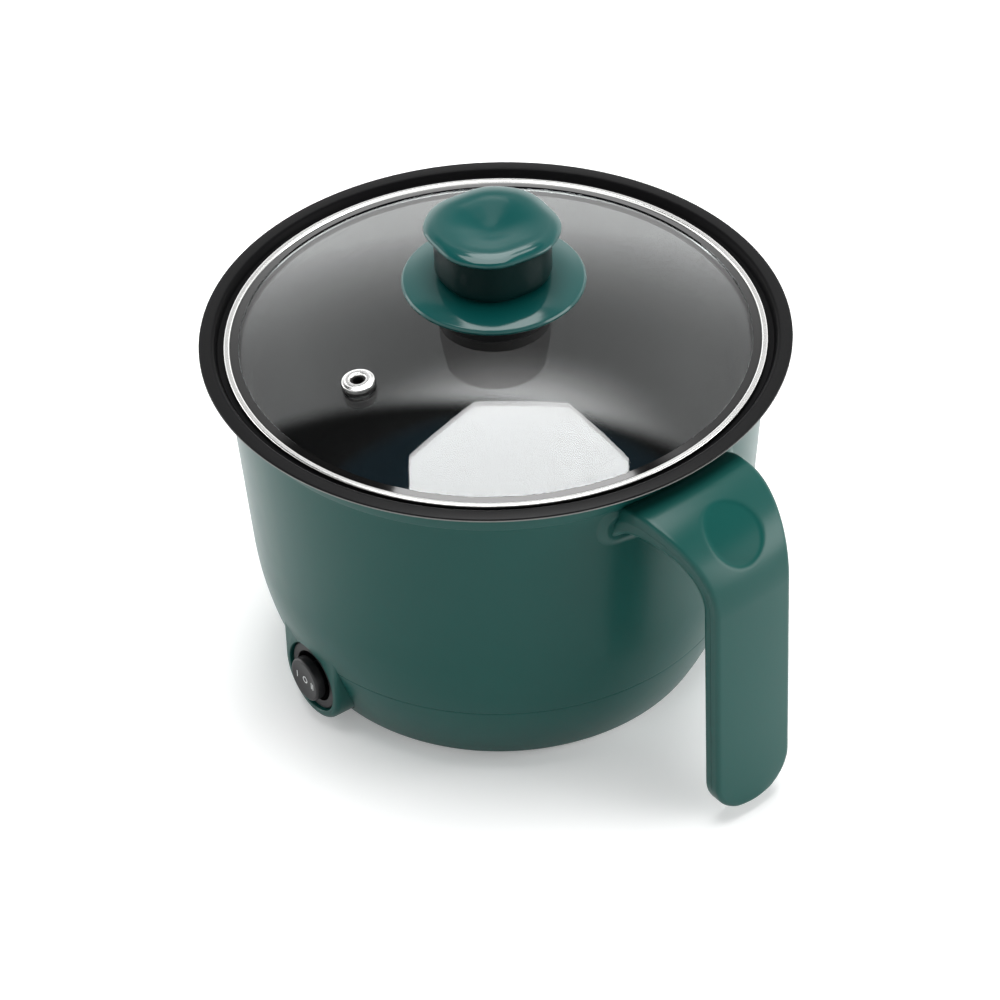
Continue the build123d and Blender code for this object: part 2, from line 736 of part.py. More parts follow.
# Root pad: a curved plate that lies on the wall and spreads the handle's load
with BuildPart() as pad_form:
    with BuildSketch(Plane.XZ.rotated((0, 0, -pad_half_angle))):
        with BuildLine():
            Polyline(
                wall_point(pad_low_height, -seat_gap),
                wall_point(pad_low_height, -pad_thickness),
                wall_point(pad_top_height, -pad_thickness),
                wall_point(pad_top_height, -seat_gap),
                close=True,
            )
        make_face()
    revolve(axis=Axis.Z, revolution_arc=2 * pad_half_angle)
    pad_corners = pad_form.edges().filter_by(GeomType.LINE).filter_by(Axis.Z, reverse=True)
    short_edges = pad_corners.filter_by(lambda edge: edge.length < 2 * pad_thickness)
    fillet(short_edges, pad_round)

# Thumb rest: a shallow round hollow that follows the bend
with BuildPart() as thumb_form:
    thumb_out = (cos(radians(thumb_angle)), 0, sin(radians(thumb_angle)))
    thumb_plane = Plane(origin=(grip_crest_reach, 0, bend_height), x_dir=(0, 1, 0), z_dir=thumb_out)
    with BuildSketch(thumb_plane):
        Circle(thumb_radius)
    extrude(amount=grip_bend_radius + overrun)
    with BuildSketch(Plane.XZ):
        with Locations((grip_crest_reach, bend_height)):
            Circle(grip_bend_radius - thumb_depth)
    extrude(amount=grip_root_half, both=True, mode=Mode.SUBTRACT)

# Outer shell of the handle, with its root pad and the screw holes
head_edge = handle_screw_spread + handle_screw_head_radius
head_floor = wall_radius(handle_screw_height - handle_screw_head_radius, wall)
screw_seat = sqrt(head_floor ** 2 - head_edge ** 2)
screw_places = [(-handle_screw_spread, handle_screw_height), (handle_screw_spread, handle_screw_height)]
screw_end = screw_seat + wall + handle_screw_length
cover_face = tip_reach - grip_thickness - grip_lean
with BuildPart() as handle_outer:
    with BuildSketch(Plane.XZ):
        with BuildLine():
            strap_side(-overrun, grip_split, grip_tip_height - overrun)
        make_face()
    extrude(amount=grip_root_half, both=True)
    add(handle_form.part, mode=Mode.INTERSECT)
    add(pad_form.part)
    add(thumb_form.part, mode=Mode.SUBTRACT)
    with BuildSketch(Plane.YZ):
        with Locations(*screw_places):
            Circle(handle_screw_radius + seat_gap)
    extrude(amount=screw_end + mould_gap, mode=Mode.SUBTRACT)
    with BuildSketch(Plane.YZ.offset(cover_face)):
        with Locations((0, cover_screw_height)):
            Circle(handle_screw_radius + seat_gap)
    extrude(amount=cover_screw_length + mould_gap, mode=Mode.SUBTRACT)
export(handle_outer, "handle_outer")

# Inner cover of the handle: closes the shell from the pot's side and stops short of its tip
with BuildPart() as handle_inner_cover:
    with BuildSketch(Plane.XZ):
        with BuildLine():
            strap_side(grip_split, grip_thickness + overrun, grip_tip_height + cover_setback)
        make_face()
    extrude(amount=grip_root_half, both=True)
    add(handle_form.part, mode=Mode.INTERSECT)
    add(pad_form.part, mode=Mode.SUBTRACT)
    with BuildSketch(Plane.YZ):
        with Locations(*screw_places):
            Circle(handle_screw_radius + seat_gap)
    extrude(amount=screw_end + mould_gap, mode=Mode.SUBTRACT)
    with BuildSketch(Plane.YZ.offset(cover_face - overrun)):
        with Locations((0, cover_screw_height)):
            Circle(handle_screw_head_radius + mould_gap)
    extrude(amount=overrun + handle_screw_head, mode=Mode.SUBTRACT)
    with BuildSketch(Plane.YZ.offset(cover_face)):
        with Locations((0, cover_screw_height)):
            Circle(handle_screw_radius + seat_gap)
    extrude(amount=cover_screw_length + mould_gap, mode=Mode.SUBTRACT)
export(handle_inner_cover, "handle_inner_cover")

with BuildPart() as handle_screws:
    with BuildSketch(Plane.YZ.offset(screw_seat)):
        with Locations(*screw_places):
            Circle(handle_screw_head_radius)
    extrude(amount=-handle_screw_head)
    with BuildSketch(Plane.YZ.offset(screw_seat)):
        with Locations(*screw_places):
            Circle(handle_screw_radius)
    extrude(amount=wall + handle_screw_length)
export(handle_screws, "handle_screws")

with BuildPart() as handle_cover_screw:
    with BuildSketch(Plane.YZ.offset(cover_face + handle_screw_head)):
        with Locations((0, cover_screw_height)):
            Circle(handle_screw_head_radius)
    extrude(amount=-handle_screw_head)
    with BuildSketch(Plane.YZ.offset(cover_face + handle_screw_head)):
        with Locations((0, cover_screw_height)):
            Circle(handle_screw_radius)
    extrude(amount=cover_screw_length - handle_screw_head)
export(handle_cover_screw, "handle_cover_screw")

# Lid band: folded steel edge with a hem that rests over the ledge and a skirt that centres the lid
hem_low = ledge_height + slip_gap
skirt_low = ledge_height - skirt_depth
skirt_inner = skirt_radius - band_sheet
web_top = hem_low + band_sheet
with BuildPart() as lid_band:
    with BuildSketch(Plane.XZ):
        with BuildLine():
            Polyline(
                (skirt_radius - skirt_foot_width, skirt_low),
                (skirt_radius, skirt_low),
                (skirt_radius, hem_low),
                (lid_radius, hem_low),
                (lid_radius, hem_low + hem_height),
                (lid_radius - hem_width, hem_low + hem_height),
                (lid_radius - hem_width, web_top),
                (skirt_inner, web_top),
                (skirt_inner, skirt_low + band_sheet),
                (skirt_radius - skirt_foot_width, skirt_low + band_sheet),
                close=True,
            )
        make_face()
    revolve(axis=Axis.Z)
    fillet(lid_band.edges().group_by(Axis.Z)[-1], hem_height * hem_round_share)
export(lid_band, "lid_band")

# Lid seal: a soft ring pressed in between the hem and the glass
with BuildPart() as lid_seal:
    with BuildSketch(Plane.XY.offset(web_top)):
        Circle(lid_radius - hem_width)
        Circle(skirt_inner, mode=Mode.SUBTRACT)
    extrude(amount=(hem_height - band_sheet) * seal_share)
export(lid_seal, "lid_seal")

# Lid glass: a shallow dome of even thickness, bored for the knob's screw and the vent
glass_radius = skirt_inner - seat_gap
glass_foot = skirt_low + band_sheet
glass_edge_top = glass_foot + glass_thickness
dome_radius = (glass_radius ** 2 + glass_rise ** 2) / (2 * glass_rise)
dome_centre = glass_edge_top + glass_rise - dome_radius
glass_crown = glass_edge_top + glass_rise
glass_under = glass_crown - glass_thickness
under_centre = glass_under - dome_radius


def dome_height(radius):
    """Height of the glass's upper face at a distance from its axis."""
    return dome_centre + sqrt(dome_radius ** 2 - radius ** 2)


vent_circle = glass_radius * vent_circle_share
vent_tilt = radians(vent_angle)
vent_foot = (vent_circle * cos(vent_tilt), vent_circle * sin(vent_tilt), dome_height(vent_circle))
vent_out = (vent_foot[0], vent_foot[1], vent_foot[2] - dome_centre)
vent_plane = Plane(origin=vent_foot, z_dir=vent_out)
with BuildPart() as lid_glass:
    with BuildSketch(Plane.XZ):
        with BuildLine():
            half = glass_radius / 2
            ThreePointArc((0, glass_crown), (half, dome_height(half)), (glass_radius, glass_edge_top))
            Line((glass_radius, glass_edge_top), (glass_radius, glass_foot))
            ThreePointArc(
                (glass_radius, glass_foot),
                (half, dome_height(half) - glass_thickness),
                (0, glass_under),
            )
            Line((0, glass_under), (0, glass_crown))
        make_face()
    revolve(axis=Axis.Z)
    with BuildSketch(Plane.XY.offset(glass_foot)):
        Circle(glass_hole_radius)
    extrude(amount=glass_crown - glass_foot, mode=Mode.SUBTRACT)
    with BuildSketch(vent_plane.offset(overrun)):
        Circle(vent_neck_radius + mould_gap)
    extrude(amount=-glass_thickness - 2 * overrun, mode=Mode.SUBTRACT)
export(lid_glass, "lid_glass")

# Vent: a soft washer on the glass and a bright eyelet flared over under it
with BuildPart() as vent_gasket:
    with BuildSketch(vent_plane):
        Circle(vent_outer_radius + vent_washer_margin)
        Circle(vent_neck_radius + seat_gap, mode=Mode.SUBTRACT)
    extrude(amount=vent_washer)
export(vent_gasket, "vent_gasket")

vent_low = vent_plane.offset(-glass_thickness - mould_gap)
with BuildPart() as vent_eyelet:
    with BuildSketch(vent_plane.offset(vent_washer)):
        Circle(vent_outer_radius)
    extrude(amount=vent_stand)
    fillet(vent_eyelet.edges().sort_by(Axis(vent_foot, vent_out))[-1], vent_stand / 2)
    with BuildSketch(vent_plane.offset(vent_washer)):
        Circle(vent_neck_radius)
    extrude(amount=-vent_washer - glass_thickness - mould_gap - band_sheet)
    with BuildSketch(vent_low):
        Circle(vent_neck_radius + vent_flare)
    extrude(amount=-band_sheet)
    with BuildSketch(vent_plane.offset(vent_washer + vent_stand + overrun)):
        Circle(vent_bore_radius)
    extrude(amount=-glass_thickness - vent_washer - vent_stand - 2 * overrun, mode=Mode.SUBTRACT)
export(vent_eyelet, "vent_eyelet")

# Knob, from the glass upwards: soft gasket, collar, finger guard and lobed grip
gasket_top = dome_height(collar_radius) + knob_gasket_height
collar_top = gasket_top + collar_height
guard_top = collar_top + guard_height
grip_foot_top = guard_top + stem_height
grip_top = grip_foot_top + grip_lip
bore_radius = knob_screw_radius + seat_gap
with BuildPart() as knob_gasket:
    with BuildSketch(Plane.XZ):
        with BuildLine():
            half = collar_radius / 2
            ThreePointArc((0, glass_crown), (half, dome_height(half)), (collar_radius, dome_height(collar_radius)))
            Polyline(
                (collar_radius, dome_height(collar_radius)),
                (collar_radius, gasket_top),
                (0, gasket_top),
                (0, glass_crown),
            )
        make_face()
    revolve(axis=Axis.Z)
    with BuildSketch(Plane.XY.offset(gasket_top)):
        Circle(bore_radius)
    extrude(amount=-knob_gasket_height, mode=Mode.SUBTRACT)
export(knob_gasket, "knob_gasket")

with BuildPart() as knob_seat:
    with BuildSketch(Plane.XY.offset(gasket_top)):
        Circle(collar_radius)
    with BuildSketch(Plane.XY.offset(collar_top)):
        Circle(collar_radius - collar_taper)
    loft()
    with BuildSketch(Plane.XY.offset(gasket_top)):
        Circle(bore_radius)
    extrude(amount=collar_height, mode=Mode.SUBTRACT)
export(knob_seat, "knob_seat")

guard_low = collar_top - guard_dish
guard_shoulder = stem_radius + (guard_radius - stem_radius) / 2
with BuildPart() as knob_skirt:
    with BuildSketch(Plane.XZ):
        with BuildLine():
            Polyline(
                (bore_radius, collar_top),
                (collar_radius, collar_top),
                (guard_radius - guard_edge * guard_edge_shares[0], guard_low),
                (guard_radius, guard_low + guard_edge * guard_edge_shares[1]),
                (guard_radius, guard_low + guard_edge * guard_edge_shares[2]),
                (guard_radius - guard_edge * guard_edge_shares[1], guard_low + guard_edge),
            )
            ThreePointArc(
                (guard_radius - guard_edge * guard_edge_shares[1], guard_low + guard_edge),
                (guard_shoulder, guard_low + guard_edge + (guard_top - guard_low - guard_edge) * guard_crown_share),
                (stem_radius, guard_top),
            )
            Polyline((stem_radius, guard_top), (bore_radius, guard_top), (bore_radius, collar_top))
        make_face()
    revolve(axis=Axis.Z)
export(knob_skirt, "knob_skirt")

dish_radius = grip_radius - dish_rim
dish_sphere = (dish_radius ** 2 + dish_depth ** 2) / (2 * dish_depth)
dish_middle = grip_top - dish_depth + dish_sphere - sqrt(dish_sphere ** 2 - (dish_radius / 2) ** 2)
with BuildPart() as knob_grip:
    with BuildSketch(Plane.XZ):
        with BuildLine():
            stem_top = (stem_radius, grip_foot_top - grip_under)
            lip_low = (grip_radius, grip_foot_top + grip_under)
            lip_high = (grip_radius, grip_top - grip_round)
            lip_crown = (dish_radius, grip_top)
            Polyline((0, guard_top), (stem_radius, guard_top), stem_top, lip_low, lip_high)
            TangentArc(lip_high, lip_crown, tangent=(0, 1))
            ThreePointArc(lip_crown, (dish_radius / 2, dish_middle), (0, grip_top - dish_depth))
            Line((0, grip_top - dish_depth), (0, guard_top))
        make_face()
    revolve(axis=Axis.Z)
    with BuildSketch(Plane.XY.offset(grip_foot_top - grip_under)):
        with PolarLocations(grip_radius + lobe_cutter_radius - lip_bite, lobe_count, lobe_angle):
            Circle(lobe_cutter_radius)
    extrude(amount=grip_lip + grip_round + overrun, mode=Mode.SUBTRACT)
    with BuildSketch(Plane.XY.offset(guard_top)):
        with PolarLocations(stem_radius + lobe_cutter_radius - stem_bite, lobe_count, lobe_angle):
            Circle(lobe_cutter_radius)
    extrude(amount=stem_height - grip_under, mode=Mode.SUBTRACT)
    with BuildSketch(Plane.XY.offset(guard_top)):
        Circle(bore_radius)
    extrude(amount=knob_screw_grip + mould_gap, mode=Mode.SUBTRACT)
export(knob_grip, "knob_grip")

# Screw and washer that hold the knob from under the glass
washer_top = dome_height(knob_washer_radius) - glass_thickness
washer_low = washer_top - knob_washer_thickness
with BuildPart() as knob_washer:
    with BuildSketch(Plane.XY.offset(washer_low)):
        Circle(knob_washer_radius)
        Circle(bore_radius, mode=Mode.SUBTRACT)
    extrude(amount=knob_washer_thickness)
export(knob_washer, "knob_washer")

with BuildPart() as knob_screw:
    with BuildSketch(Plane.XY.offset(washer_low)):
        Circle(knob_screw_head_radius)
    extrude(amount=-knob_screw_head)
    with BuildSketch(Plane.XY.offset(washer_low)):
        Circle(knob_screw_radius)
    extrude(amount=guard_top + knob_screw_grip - washer_low)
export(knob_screw, "knob_screw")
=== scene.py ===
"""Travel cooker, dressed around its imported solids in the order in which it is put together."""

from math import asin, cos, hypot, pi, radians, sin, sqrt, tan

import bmesh
import bpy
from mathutils import Matrix, Vector


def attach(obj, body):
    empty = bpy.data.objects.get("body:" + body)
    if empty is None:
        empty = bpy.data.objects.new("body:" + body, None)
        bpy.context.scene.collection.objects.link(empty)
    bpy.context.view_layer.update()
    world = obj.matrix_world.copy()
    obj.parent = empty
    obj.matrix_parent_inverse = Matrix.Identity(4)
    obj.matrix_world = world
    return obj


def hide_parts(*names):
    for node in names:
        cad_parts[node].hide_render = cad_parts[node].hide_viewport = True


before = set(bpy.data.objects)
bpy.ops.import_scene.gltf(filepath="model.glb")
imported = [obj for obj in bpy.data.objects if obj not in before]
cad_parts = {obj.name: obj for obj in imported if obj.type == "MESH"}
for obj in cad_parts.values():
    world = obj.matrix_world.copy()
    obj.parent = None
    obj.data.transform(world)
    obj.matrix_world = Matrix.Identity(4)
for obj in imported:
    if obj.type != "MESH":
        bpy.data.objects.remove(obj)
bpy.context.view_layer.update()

# Base cover: the rounded foot of the housing, moulded in the same green plastic. It is a turned shell,
# notched round the switch boss, with a ring of vent slots and a bored pad for the cord gland. The tongue,
# screw posts, screw wells and foot seats of the CAD's solid are left out here.
FOOT_HEIGHT = 0.0015
BASE_EDGE = 0.0701
SEAM_HEIGHT = 0.0286
BREAK_HEIGHT = 0.050
LIP_FOOT_HEIGHT = 0.114
LIP_FOOT_RADIUS = 0.0891
WALL_DRAFT = radians(4.2)
WALL = 0.0022
SEAM_ROUND = 0.00025
SWITCH_ANGLE = radians(-93.6)
SWITCH_FACE = 0.0804523
SWITCH_HEIGHT = 0.0171
BOSS_RADIUS = 0.0156
BOSS_TOP = 0.0443
BOSS_GAP = 0.0002
BOSS_DEPTH = 0.015
GLAND_PAD_RADIUS = 0.009
GLAND_HEIGHT = 0.014
GLAND_FACE = 0.0797439
GLAND_PAD_DEPTH = 0.008
GLAND_BODY = 0.0055
GLAND_LENGTH = 0.011
SLOT_COUNT = 12
SLOT_CIRCLE = 0.030
SLOT_LENGTH = 0.022
SLOT_WIDTH = 0.003
SLOT_CUT = (-0.002, 0.006)
MOULD_ROUND = 0.0008
EDGE_STEP = 0.001
CUT_PAST = 0.002
NOTCH_OUT = 0.006
ARC_STEPS = 48
SLOT_STEPS = 8
CREASE = 32
TINY = 1e-7

wall_foot = LIP_FOOT_RADIUS - (LIP_FOOT_HEIGHT - BREAK_HEIGHT) * tan(WALL_DRAFT)
wall_inwards = Vector((-cos(WALL_DRAFT), sin(WALL_DRAFT)))
wall_chord = Vector((BASE_EDGE - wall_foot, FOOT_HEIGHT - BREAK_HEIGHT))
curve_radius = wall_chord.length_squared / (2 * wall_chord.dot(wall_inwards))
curve_centre = Vector((wall_foot, BREAK_HEIGHT)) + wall_inwards * curve_radius


def wall_radius(height, inset=0.0):
    """Radius of the housing's face at a height, or of a face that lies inside it."""
    if height < BREAK_HEIGHT + inset * wall_inwards.y:
        return curve_centre.x + sqrt((curve_radius - inset) ** 2 - (height - curve_centre.y) ** 2)
    return wall_foot + (height - BREAK_HEIGHT) * tan(WALL_DRAFT) - inset / cos(WALL_DRAFT)


def wall_line(low, high, steps, inset=0.0):
    """Corners along the housing's face between two heights, with no rounding of their own."""
    heights = [low + (high - low) * k / steps for k in range(steps + 1)]
    return [(wall_radius(height, inset), height, 0) for height in heights]


def rounded(corners, steps=6):
    """Closed outline through corners (across, up, radius), each turned with an arc of its radius."""
    points = []
    for k, (across, up, radius) in enumerate(corners):
        here = Vector((across, up))
        if radius == 0:
            points.append(here)
            continue
        before = (Vector(corners[k - 1][:2]) - here).normalized()
        after = (Vector(corners[(k + 1) % len(corners)][:2]) - here).normalized()
        half = before.angle(after) / 2
        centre = here + (before + after).normalized() * (radius / sin(half))
        start = here + before * (radius / tan(half)) - centre
        end = here + after * (radius / tan(half)) - centre
        turn = start.angle_signed(end)
        for step in range(steps + 1):
            points.append(centre + Matrix.Rotation(-turn * step / steps, 2) @ start)
    return points


def smooth_faces(mesh, crease=CREASE):
    """Smooth shading except along edges sharper than the crease."""
    mesh.shade_smooth()
    mesh.set_sharp_from_angle(angle=radians(crease))


def solid(name, points, faces, place=None, crease=CREASE):
    """Mesh object with its doubles merged and its faces outwards."""
    mesh = bpy.data.meshes.new(name)
    mesh.from_pydata([tuple(point) for point in points], [], faces)
    shape = bmesh.new()
    shape.from_mesh(mesh)
    bmesh.ops.remove_doubles(shape, verts=shape.verts, dist=TINY)
    bmesh.ops.recalc_face_normals(shape, faces=shape.faces)
    shape.to_mesh(mesh)
    shape.free()
    if place is not None:
        mesh.transform(place)
    smooth_faces(mesh, crease)
    piece = bpy.data.objects.new(name, mesh)
    bpy.context.collection.objects.link(piece)
    return piece


def loft(name, loops, place=None, crease=CREASE):
    """Skin over loops of equally many points, capped at both ends."""
    count = len(loops[0])
    points = [point for loop in loops for point in loop]
    faces = []
    for here in range(0, len(points) - count, count):
        above = here + count
        for k in range(count):
            following = (k + 1) % count
            faces.append((here + k, here + following, above + following, above + k))
    faces.append(tuple(range(count)))
    faces.append(tuple(range(len(points) - count, len(points))))
    return solid(name, points, faces, place, crease)


def lathe(name, outline, turns, place=None, crease=CREASE):
    """Closed outline of (radius, height) turned about the Z axis of its place."""
    rows = []
    points = []
    faces = []
    for radius, height in outline:
        sides = 1 if radius < TINY else turns
        rows.append(range(len(points), len(points) + sides))
        for k in range(sides):
            angle = 2 * pi * k / turns
            points.append((radius * cos(angle), radius * sin(angle), height))
    for low, high in zip(rows, rows[1:] + rows[:1]):
        for k in range(turns):
            corner = [low[k % len(low)], low[(k + 1) % turns % len(low)]]
            corner += [high[(k + 1) % turns % len(high)], high[k % len(high)]]
            corner = list(dict.fromkeys(corner))
            if len(corner) > 2:
                faces.append(corner)
    return solid(name, points, faces, place, crease)


def keep_shape(piece, modifier):
    """Make the result of a piece's modifier its plain mesh."""
    bpy.context.view_layer.update()
    shaped = piece.evaluated_get(bpy.context.evaluated_depsgraph_get())
    mesh = bpy.data.meshes.new_from_object(shaped)
    piece.modifiers.remove(modifier)
    piece.data = mesh
    return mesh


def carve(piece, tool, operation="DIFFERENCE", crease=CREASE):
    """Cut the tool out of a piece, or join it on, and take the tool away."""
    cut = piece.modifiers.new("carve", "BOOLEAN")
    cut.operation = operation
    cut.solver = "EXACT"
    cut.object = tool
    smooth_faces(keep_shape(piece, cut), crease)
    bpy.data.objects.remove(tool)


class Shade:
    """A node's socket that takes part in sums like a number."""

    def __init__(self, tree, socket=None):
        self.tree = tree
        self.socket = socket

    def add(self, kind, settings=None, inputs=None, output=0):
        """Any node, with its settings made first and its sockets filled or linked after."""
        node = self.tree.nodes.new(kind)
        for name, value in (settings or {}).items():
            setattr(node, name, value)
        for key, value in (inputs or {}).items():
            if isinstance(value, Shade):
                self.tree.links.new(value.socket, node.inputs[key])
            else:
                node.inputs[key].default_value = value
        return Shade(self.tree, node.outputs[output] if len(node.outputs) else None)

    def ramp(self, low, high, start=0.0, end=1.0, shape="LINEAR"):
        """Value that goes from start to end while this one goes from low to high."""
        inputs = {0: self, 1: low, 2: high, 3: start, 4: end}
        return self.add("ShaderNodeMapRange", {"interpolation_type": shape}, inputs)

    def blend(self, first, second):
        """Colour that goes from the first to the second with this value."""
        return self.add("ShaderNodeMix", {"data_type": "RGBA"}, {0: self, 6: first, 7: second}, 2)

    def feed(self, node, name):
        """Link this value to an input of a node."""
        self.tree.links.new(self.socket, node.inputs[name])

    def sum_of(self, operation, first, second):
        """Math node on two values, either of which may be a plain number."""
        return self.add("ShaderNodeMath", {"operation": operation}, {0: first, 1: second})

    def __add__(self, other):
        return self.sum_of("ADD", self, other)

    def __radd__(self, other):
        return self.sum_of("ADD", other, self)

    def __sub__(self, other):
        return self.sum_of("SUBTRACT", self, other)

    def __rsub__(self, other):
        return self.sum_of("SUBTRACT", other, self)

    def __mul__(self, other):
        return self.sum_of("MULTIPLY", self, other)


def finish(name, colour, roughness, **constants):
    """Material with one principled surface; returns it with its surface node and a start for shader sums."""
    material = bpy.data.materials.new(name)
    material.use_nodes = True
    surface = material.node_tree.nodes["Principled BSDF"]
    surface.inputs["Base Color"].default_value = (*colour, 1)
    surface.inputs["Roughness"].default_value = roughness
    for socket, value in constants.items():
        surface.inputs[socket.replace("_", " ")].default_value = value
    return material, surface, Shade(material.node_tree)


def grain(surface, shade, size, depth, roughness, spread):
    """Fine moulded grain: a little uneven gloss, and bumps too small to see one by one."""
    place = shade.add("ShaderNodeTexCoord", output=3)
    fine = shade.add("ShaderNodeTexNoise", {}, {"Vector": place, "Scale": 1 / size, "Detail": 2.0})
    broad = shade.add("ShaderNodeTexNoise", {}, {"Vector": place, "Scale": GRAIN_BROAD / size, "Detail": 3.0})
    gloss = roughness - spread / 2 + broad * spread
    gloss.feed(surface, "Roughness")
    bump = shade.add("ShaderNodeBump", {}, {"Height": fine, "Distance": depth, "Strength": GRAIN_STRENGTH})
    bump.feed(surface, "Normal")


GREEN = (0.0055, 0.058, 0.050)
GREEN_ROUGHNESS = 0.3
GRAIN_SIZE = 0.0006
GRAIN_DEPTH = 0.00004
GRAIN_SPREAD = 0.05
GRAIN_BROAD = 0.06
GRAIN_STRENGTH = 0.25
green_plastic, green_surface, green_shade = finish(
    "green plastic", GREEN, GREEN_ROUGHNESS, Specular_IOR_Level=0.14)
grain(green_surface, green_shade, GRAIN_SIZE, GRAIN_DEPTH, GREEN_ROUGHNESS, GRAIN_SPREAD)


def dress(piece, material, slot, body, *nodes):
    """Give a finished piece its material, its body and the solids that it stands for; the slot is not used.
    """
    piece.data.materials.clear()
    piece.data.materials.append(material)
    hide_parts(*nodes)
    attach(piece, body)


def switch_place():
    """Frame on the switch's flat face: x along the wall, y up and z outwards."""
    outwards = Vector((cos(SWITCH_ANGLE), sin(SWITCH_ANGLE), 0))
    along = Vector((-sin(SWITCH_ANGLE), cos(SWITCH_ANGLE), 0))
    turn = Matrix((along, Vector((0, 0, 1)), outwards)).transposed().to_4x4()
    centre = outwards * SWITCH_FACE + Vector((0, 0, SWITCH_HEIGHT))
    return Matrix.Translation(centre) @ turn


def boss_outline(radius, out):
    """The boss's front view: a half round foot with straight sides."""
    arc = [pi + pi * k / ARC_STEPS for k in range(ARC_STEPS + 1)]
    foot = [(radius * cos(angle), radius * sin(angle), out) for angle in arc]
    return [*foot, (radius, BOSS_TOP, out), (-radius, BOSS_TOP, out)]


def begin_tree(name, kinds):
    """Node tree with named inputs: a start for its sums, the inputs' values and their identifiers."""
    tree = bpy.data.node_groups.new(name, "GeometryNodeTree")
    tree.interface.new_socket("Geometry", in_out="OUTPUT", socket_type="NodeSocketGeometry")
    keys = {}
    for key, kind in kinds.items():
        keys[key] = tree.interface.new_socket(key, in_out="INPUT", socket_type=kind).identifier
    given = tree.nodes.new("NodeGroupInput")
    values = {key: Shade(tree, given.outputs[key]) for key in kinds}
    return Shade(tree), values, keys


def end_tree(start, geometry, material):
    """Close a node tree on real geometry with its material."""
    whole = start.add("GeometryNodeRealizeInstances", {}, {"Geometry": geometry})
    painted = start.add("GeometryNodeSetMaterial", {}, {"Geometry": whole, "Material": material})
    start.add("NodeGroupOutput", {}, {"Geometry": painted})


def run_tree(piece, start, keys, sizes):
    """Run a node tree on a piece with the given sizes, and keep the plain mesh."""
    modifier = piece.modifiers.new("tree", "NODES")
    modifier.node_group = start.tree
    for key, size in sizes.items():
        modifier[keys[key]] = size
    return keep_shape(piece, modifier)


def ring_of(name, pattern, count, circle, material, first=0.0):
    """Copies of a pattern set evenly round the Z axis by a node tree, as one plain mesh."""
    kinds = {"Count": "NodeSocketInt", "Circle": "NodeSocketFloat"}
    kinds |= {"Pattern": "NodeSocketObject", "Material": "NodeSocketMaterial"}
    start, value, keys = begin_tree("ring", kinds)
    ring = start.add("GeometryNodeMeshCircle", {}, {"Vertices": value["Count"], "Radius": value["Circle"]})
    share = start.sum_of("DIVIDE", start.add("GeometryNodeInputIndex"), value["Count"])
    spin = start.add("ShaderNodeCombineXYZ", {}, {"Z": share * (2 * pi)})
    shape = start.add("GeometryNodeObjectInfo", {}, {"Object": value["Pattern"]}, "Geometry")
    sockets = {"Points": ring, "Instance": shape, "Rotation": spin}
    copies = start.add("GeometryNodeInstanceOnPoints", {}, sockets)
    end_tree(start, copies, value["Material"])
    holder = bpy.data.objects.new(name, bpy.data.meshes.new(name))
    bpy.context.collection.objects.link(holder)
    sizes = {"Count": count, "Circle": circle, "Pattern": pattern, "Material": material}
    run_tree(holder, start, keys, sizes).transform(Matrix.Rotation(first, 4, "Z"))
    bpy.data.objects.remove(pattern)
    return holder


base_outline = rounded([
    (0, FOOT_HEIGHT, 0),
    (BASE_EDGE - EDGE_STEP, FOOT_HEIGHT, MOULD_ROUND),
    *wall_line(FOOT_HEIGHT + EDGE_STEP, SEAM_HEIGHT - EDGE_STEP, 40),
    (wall_radius(SEAM_HEIGHT), SEAM_HEIGHT, SEAM_ROUND),
    (wall_radius(SEAM_HEIGHT, WALL), SEAM_HEIGHT, 0),
    *wall_line(SEAM_HEIGHT - EDGE_STEP, FOOT_HEIGHT + WALL, 12, WALL),
    (0, FOOT_HEIGHT + WALL, 0),
])
base_cover = lathe("base_cover_shell", base_outline, 288)
gland_turn = Matrix(((0, 0, -1), (-1, 0, 0), (0, 1, 0))).to_4x4()
gland_place = Matrix.Translation((-GLAND_FACE, 0, GLAND_HEIGHT)) @ gland_turn
pad_outline = rounded([
    (0, -GLAND_PAD_DEPTH, 0),
    (GLAND_PAD_RADIUS, -GLAND_PAD_DEPTH, 0),
    (GLAND_PAD_RADIUS, 0, MOULD_ROUND),
    (0, 0, 0),
])
carve(base_cover, lathe("gland_pad", pad_outline, 64, gland_place), "UNION")
hole_low = -GLAND_LENGTH - CUT_PAST
gland_hole = [(0, hole_low), (GLAND_BODY, hole_low), (GLAND_BODY, CUT_PAST), (0, CUT_PAST)]
carve(base_cover, lathe("gland_hole", gland_hole, 64, gland_place))
notch_depths = (-BOSS_DEPTH - BOSS_GAP, NOTCH_OUT)
notch = [boss_outline(BOSS_RADIUS + BOSS_GAP, out) for out in notch_depths]
carve(base_cover, loft("boss_notch", notch, switch_place()))
slot_half = SLOT_LENGTH / 2 - SLOT_WIDTH / 2
slot_ends = [(side, k) for side in (0, 1) for k in range(SLOT_STEPS + 1)]
slot_bar = []
for height in SLOT_CUT:
    row = []
    for side, k in slot_ends:
        angle = pi * (side - 0.5) + pi * k / SLOT_STEPS
        across = (slot_half if side == 0 else -slot_half) + SLOT_WIDTH / 2 * cos(angle)
        row.append((across, SLOT_WIDTH / 2 * sin(angle), height))
    slot_bar.append(row)
slots = ring_of("vent_slots", loft("slot_bar", slot_bar), SLOT_COUNT, SLOT_CIRCLE, green_plastic)
carve(base_cover, slots)
dress(base_cover, green_plastic, "green_plastic", "cooker", "base_cover")

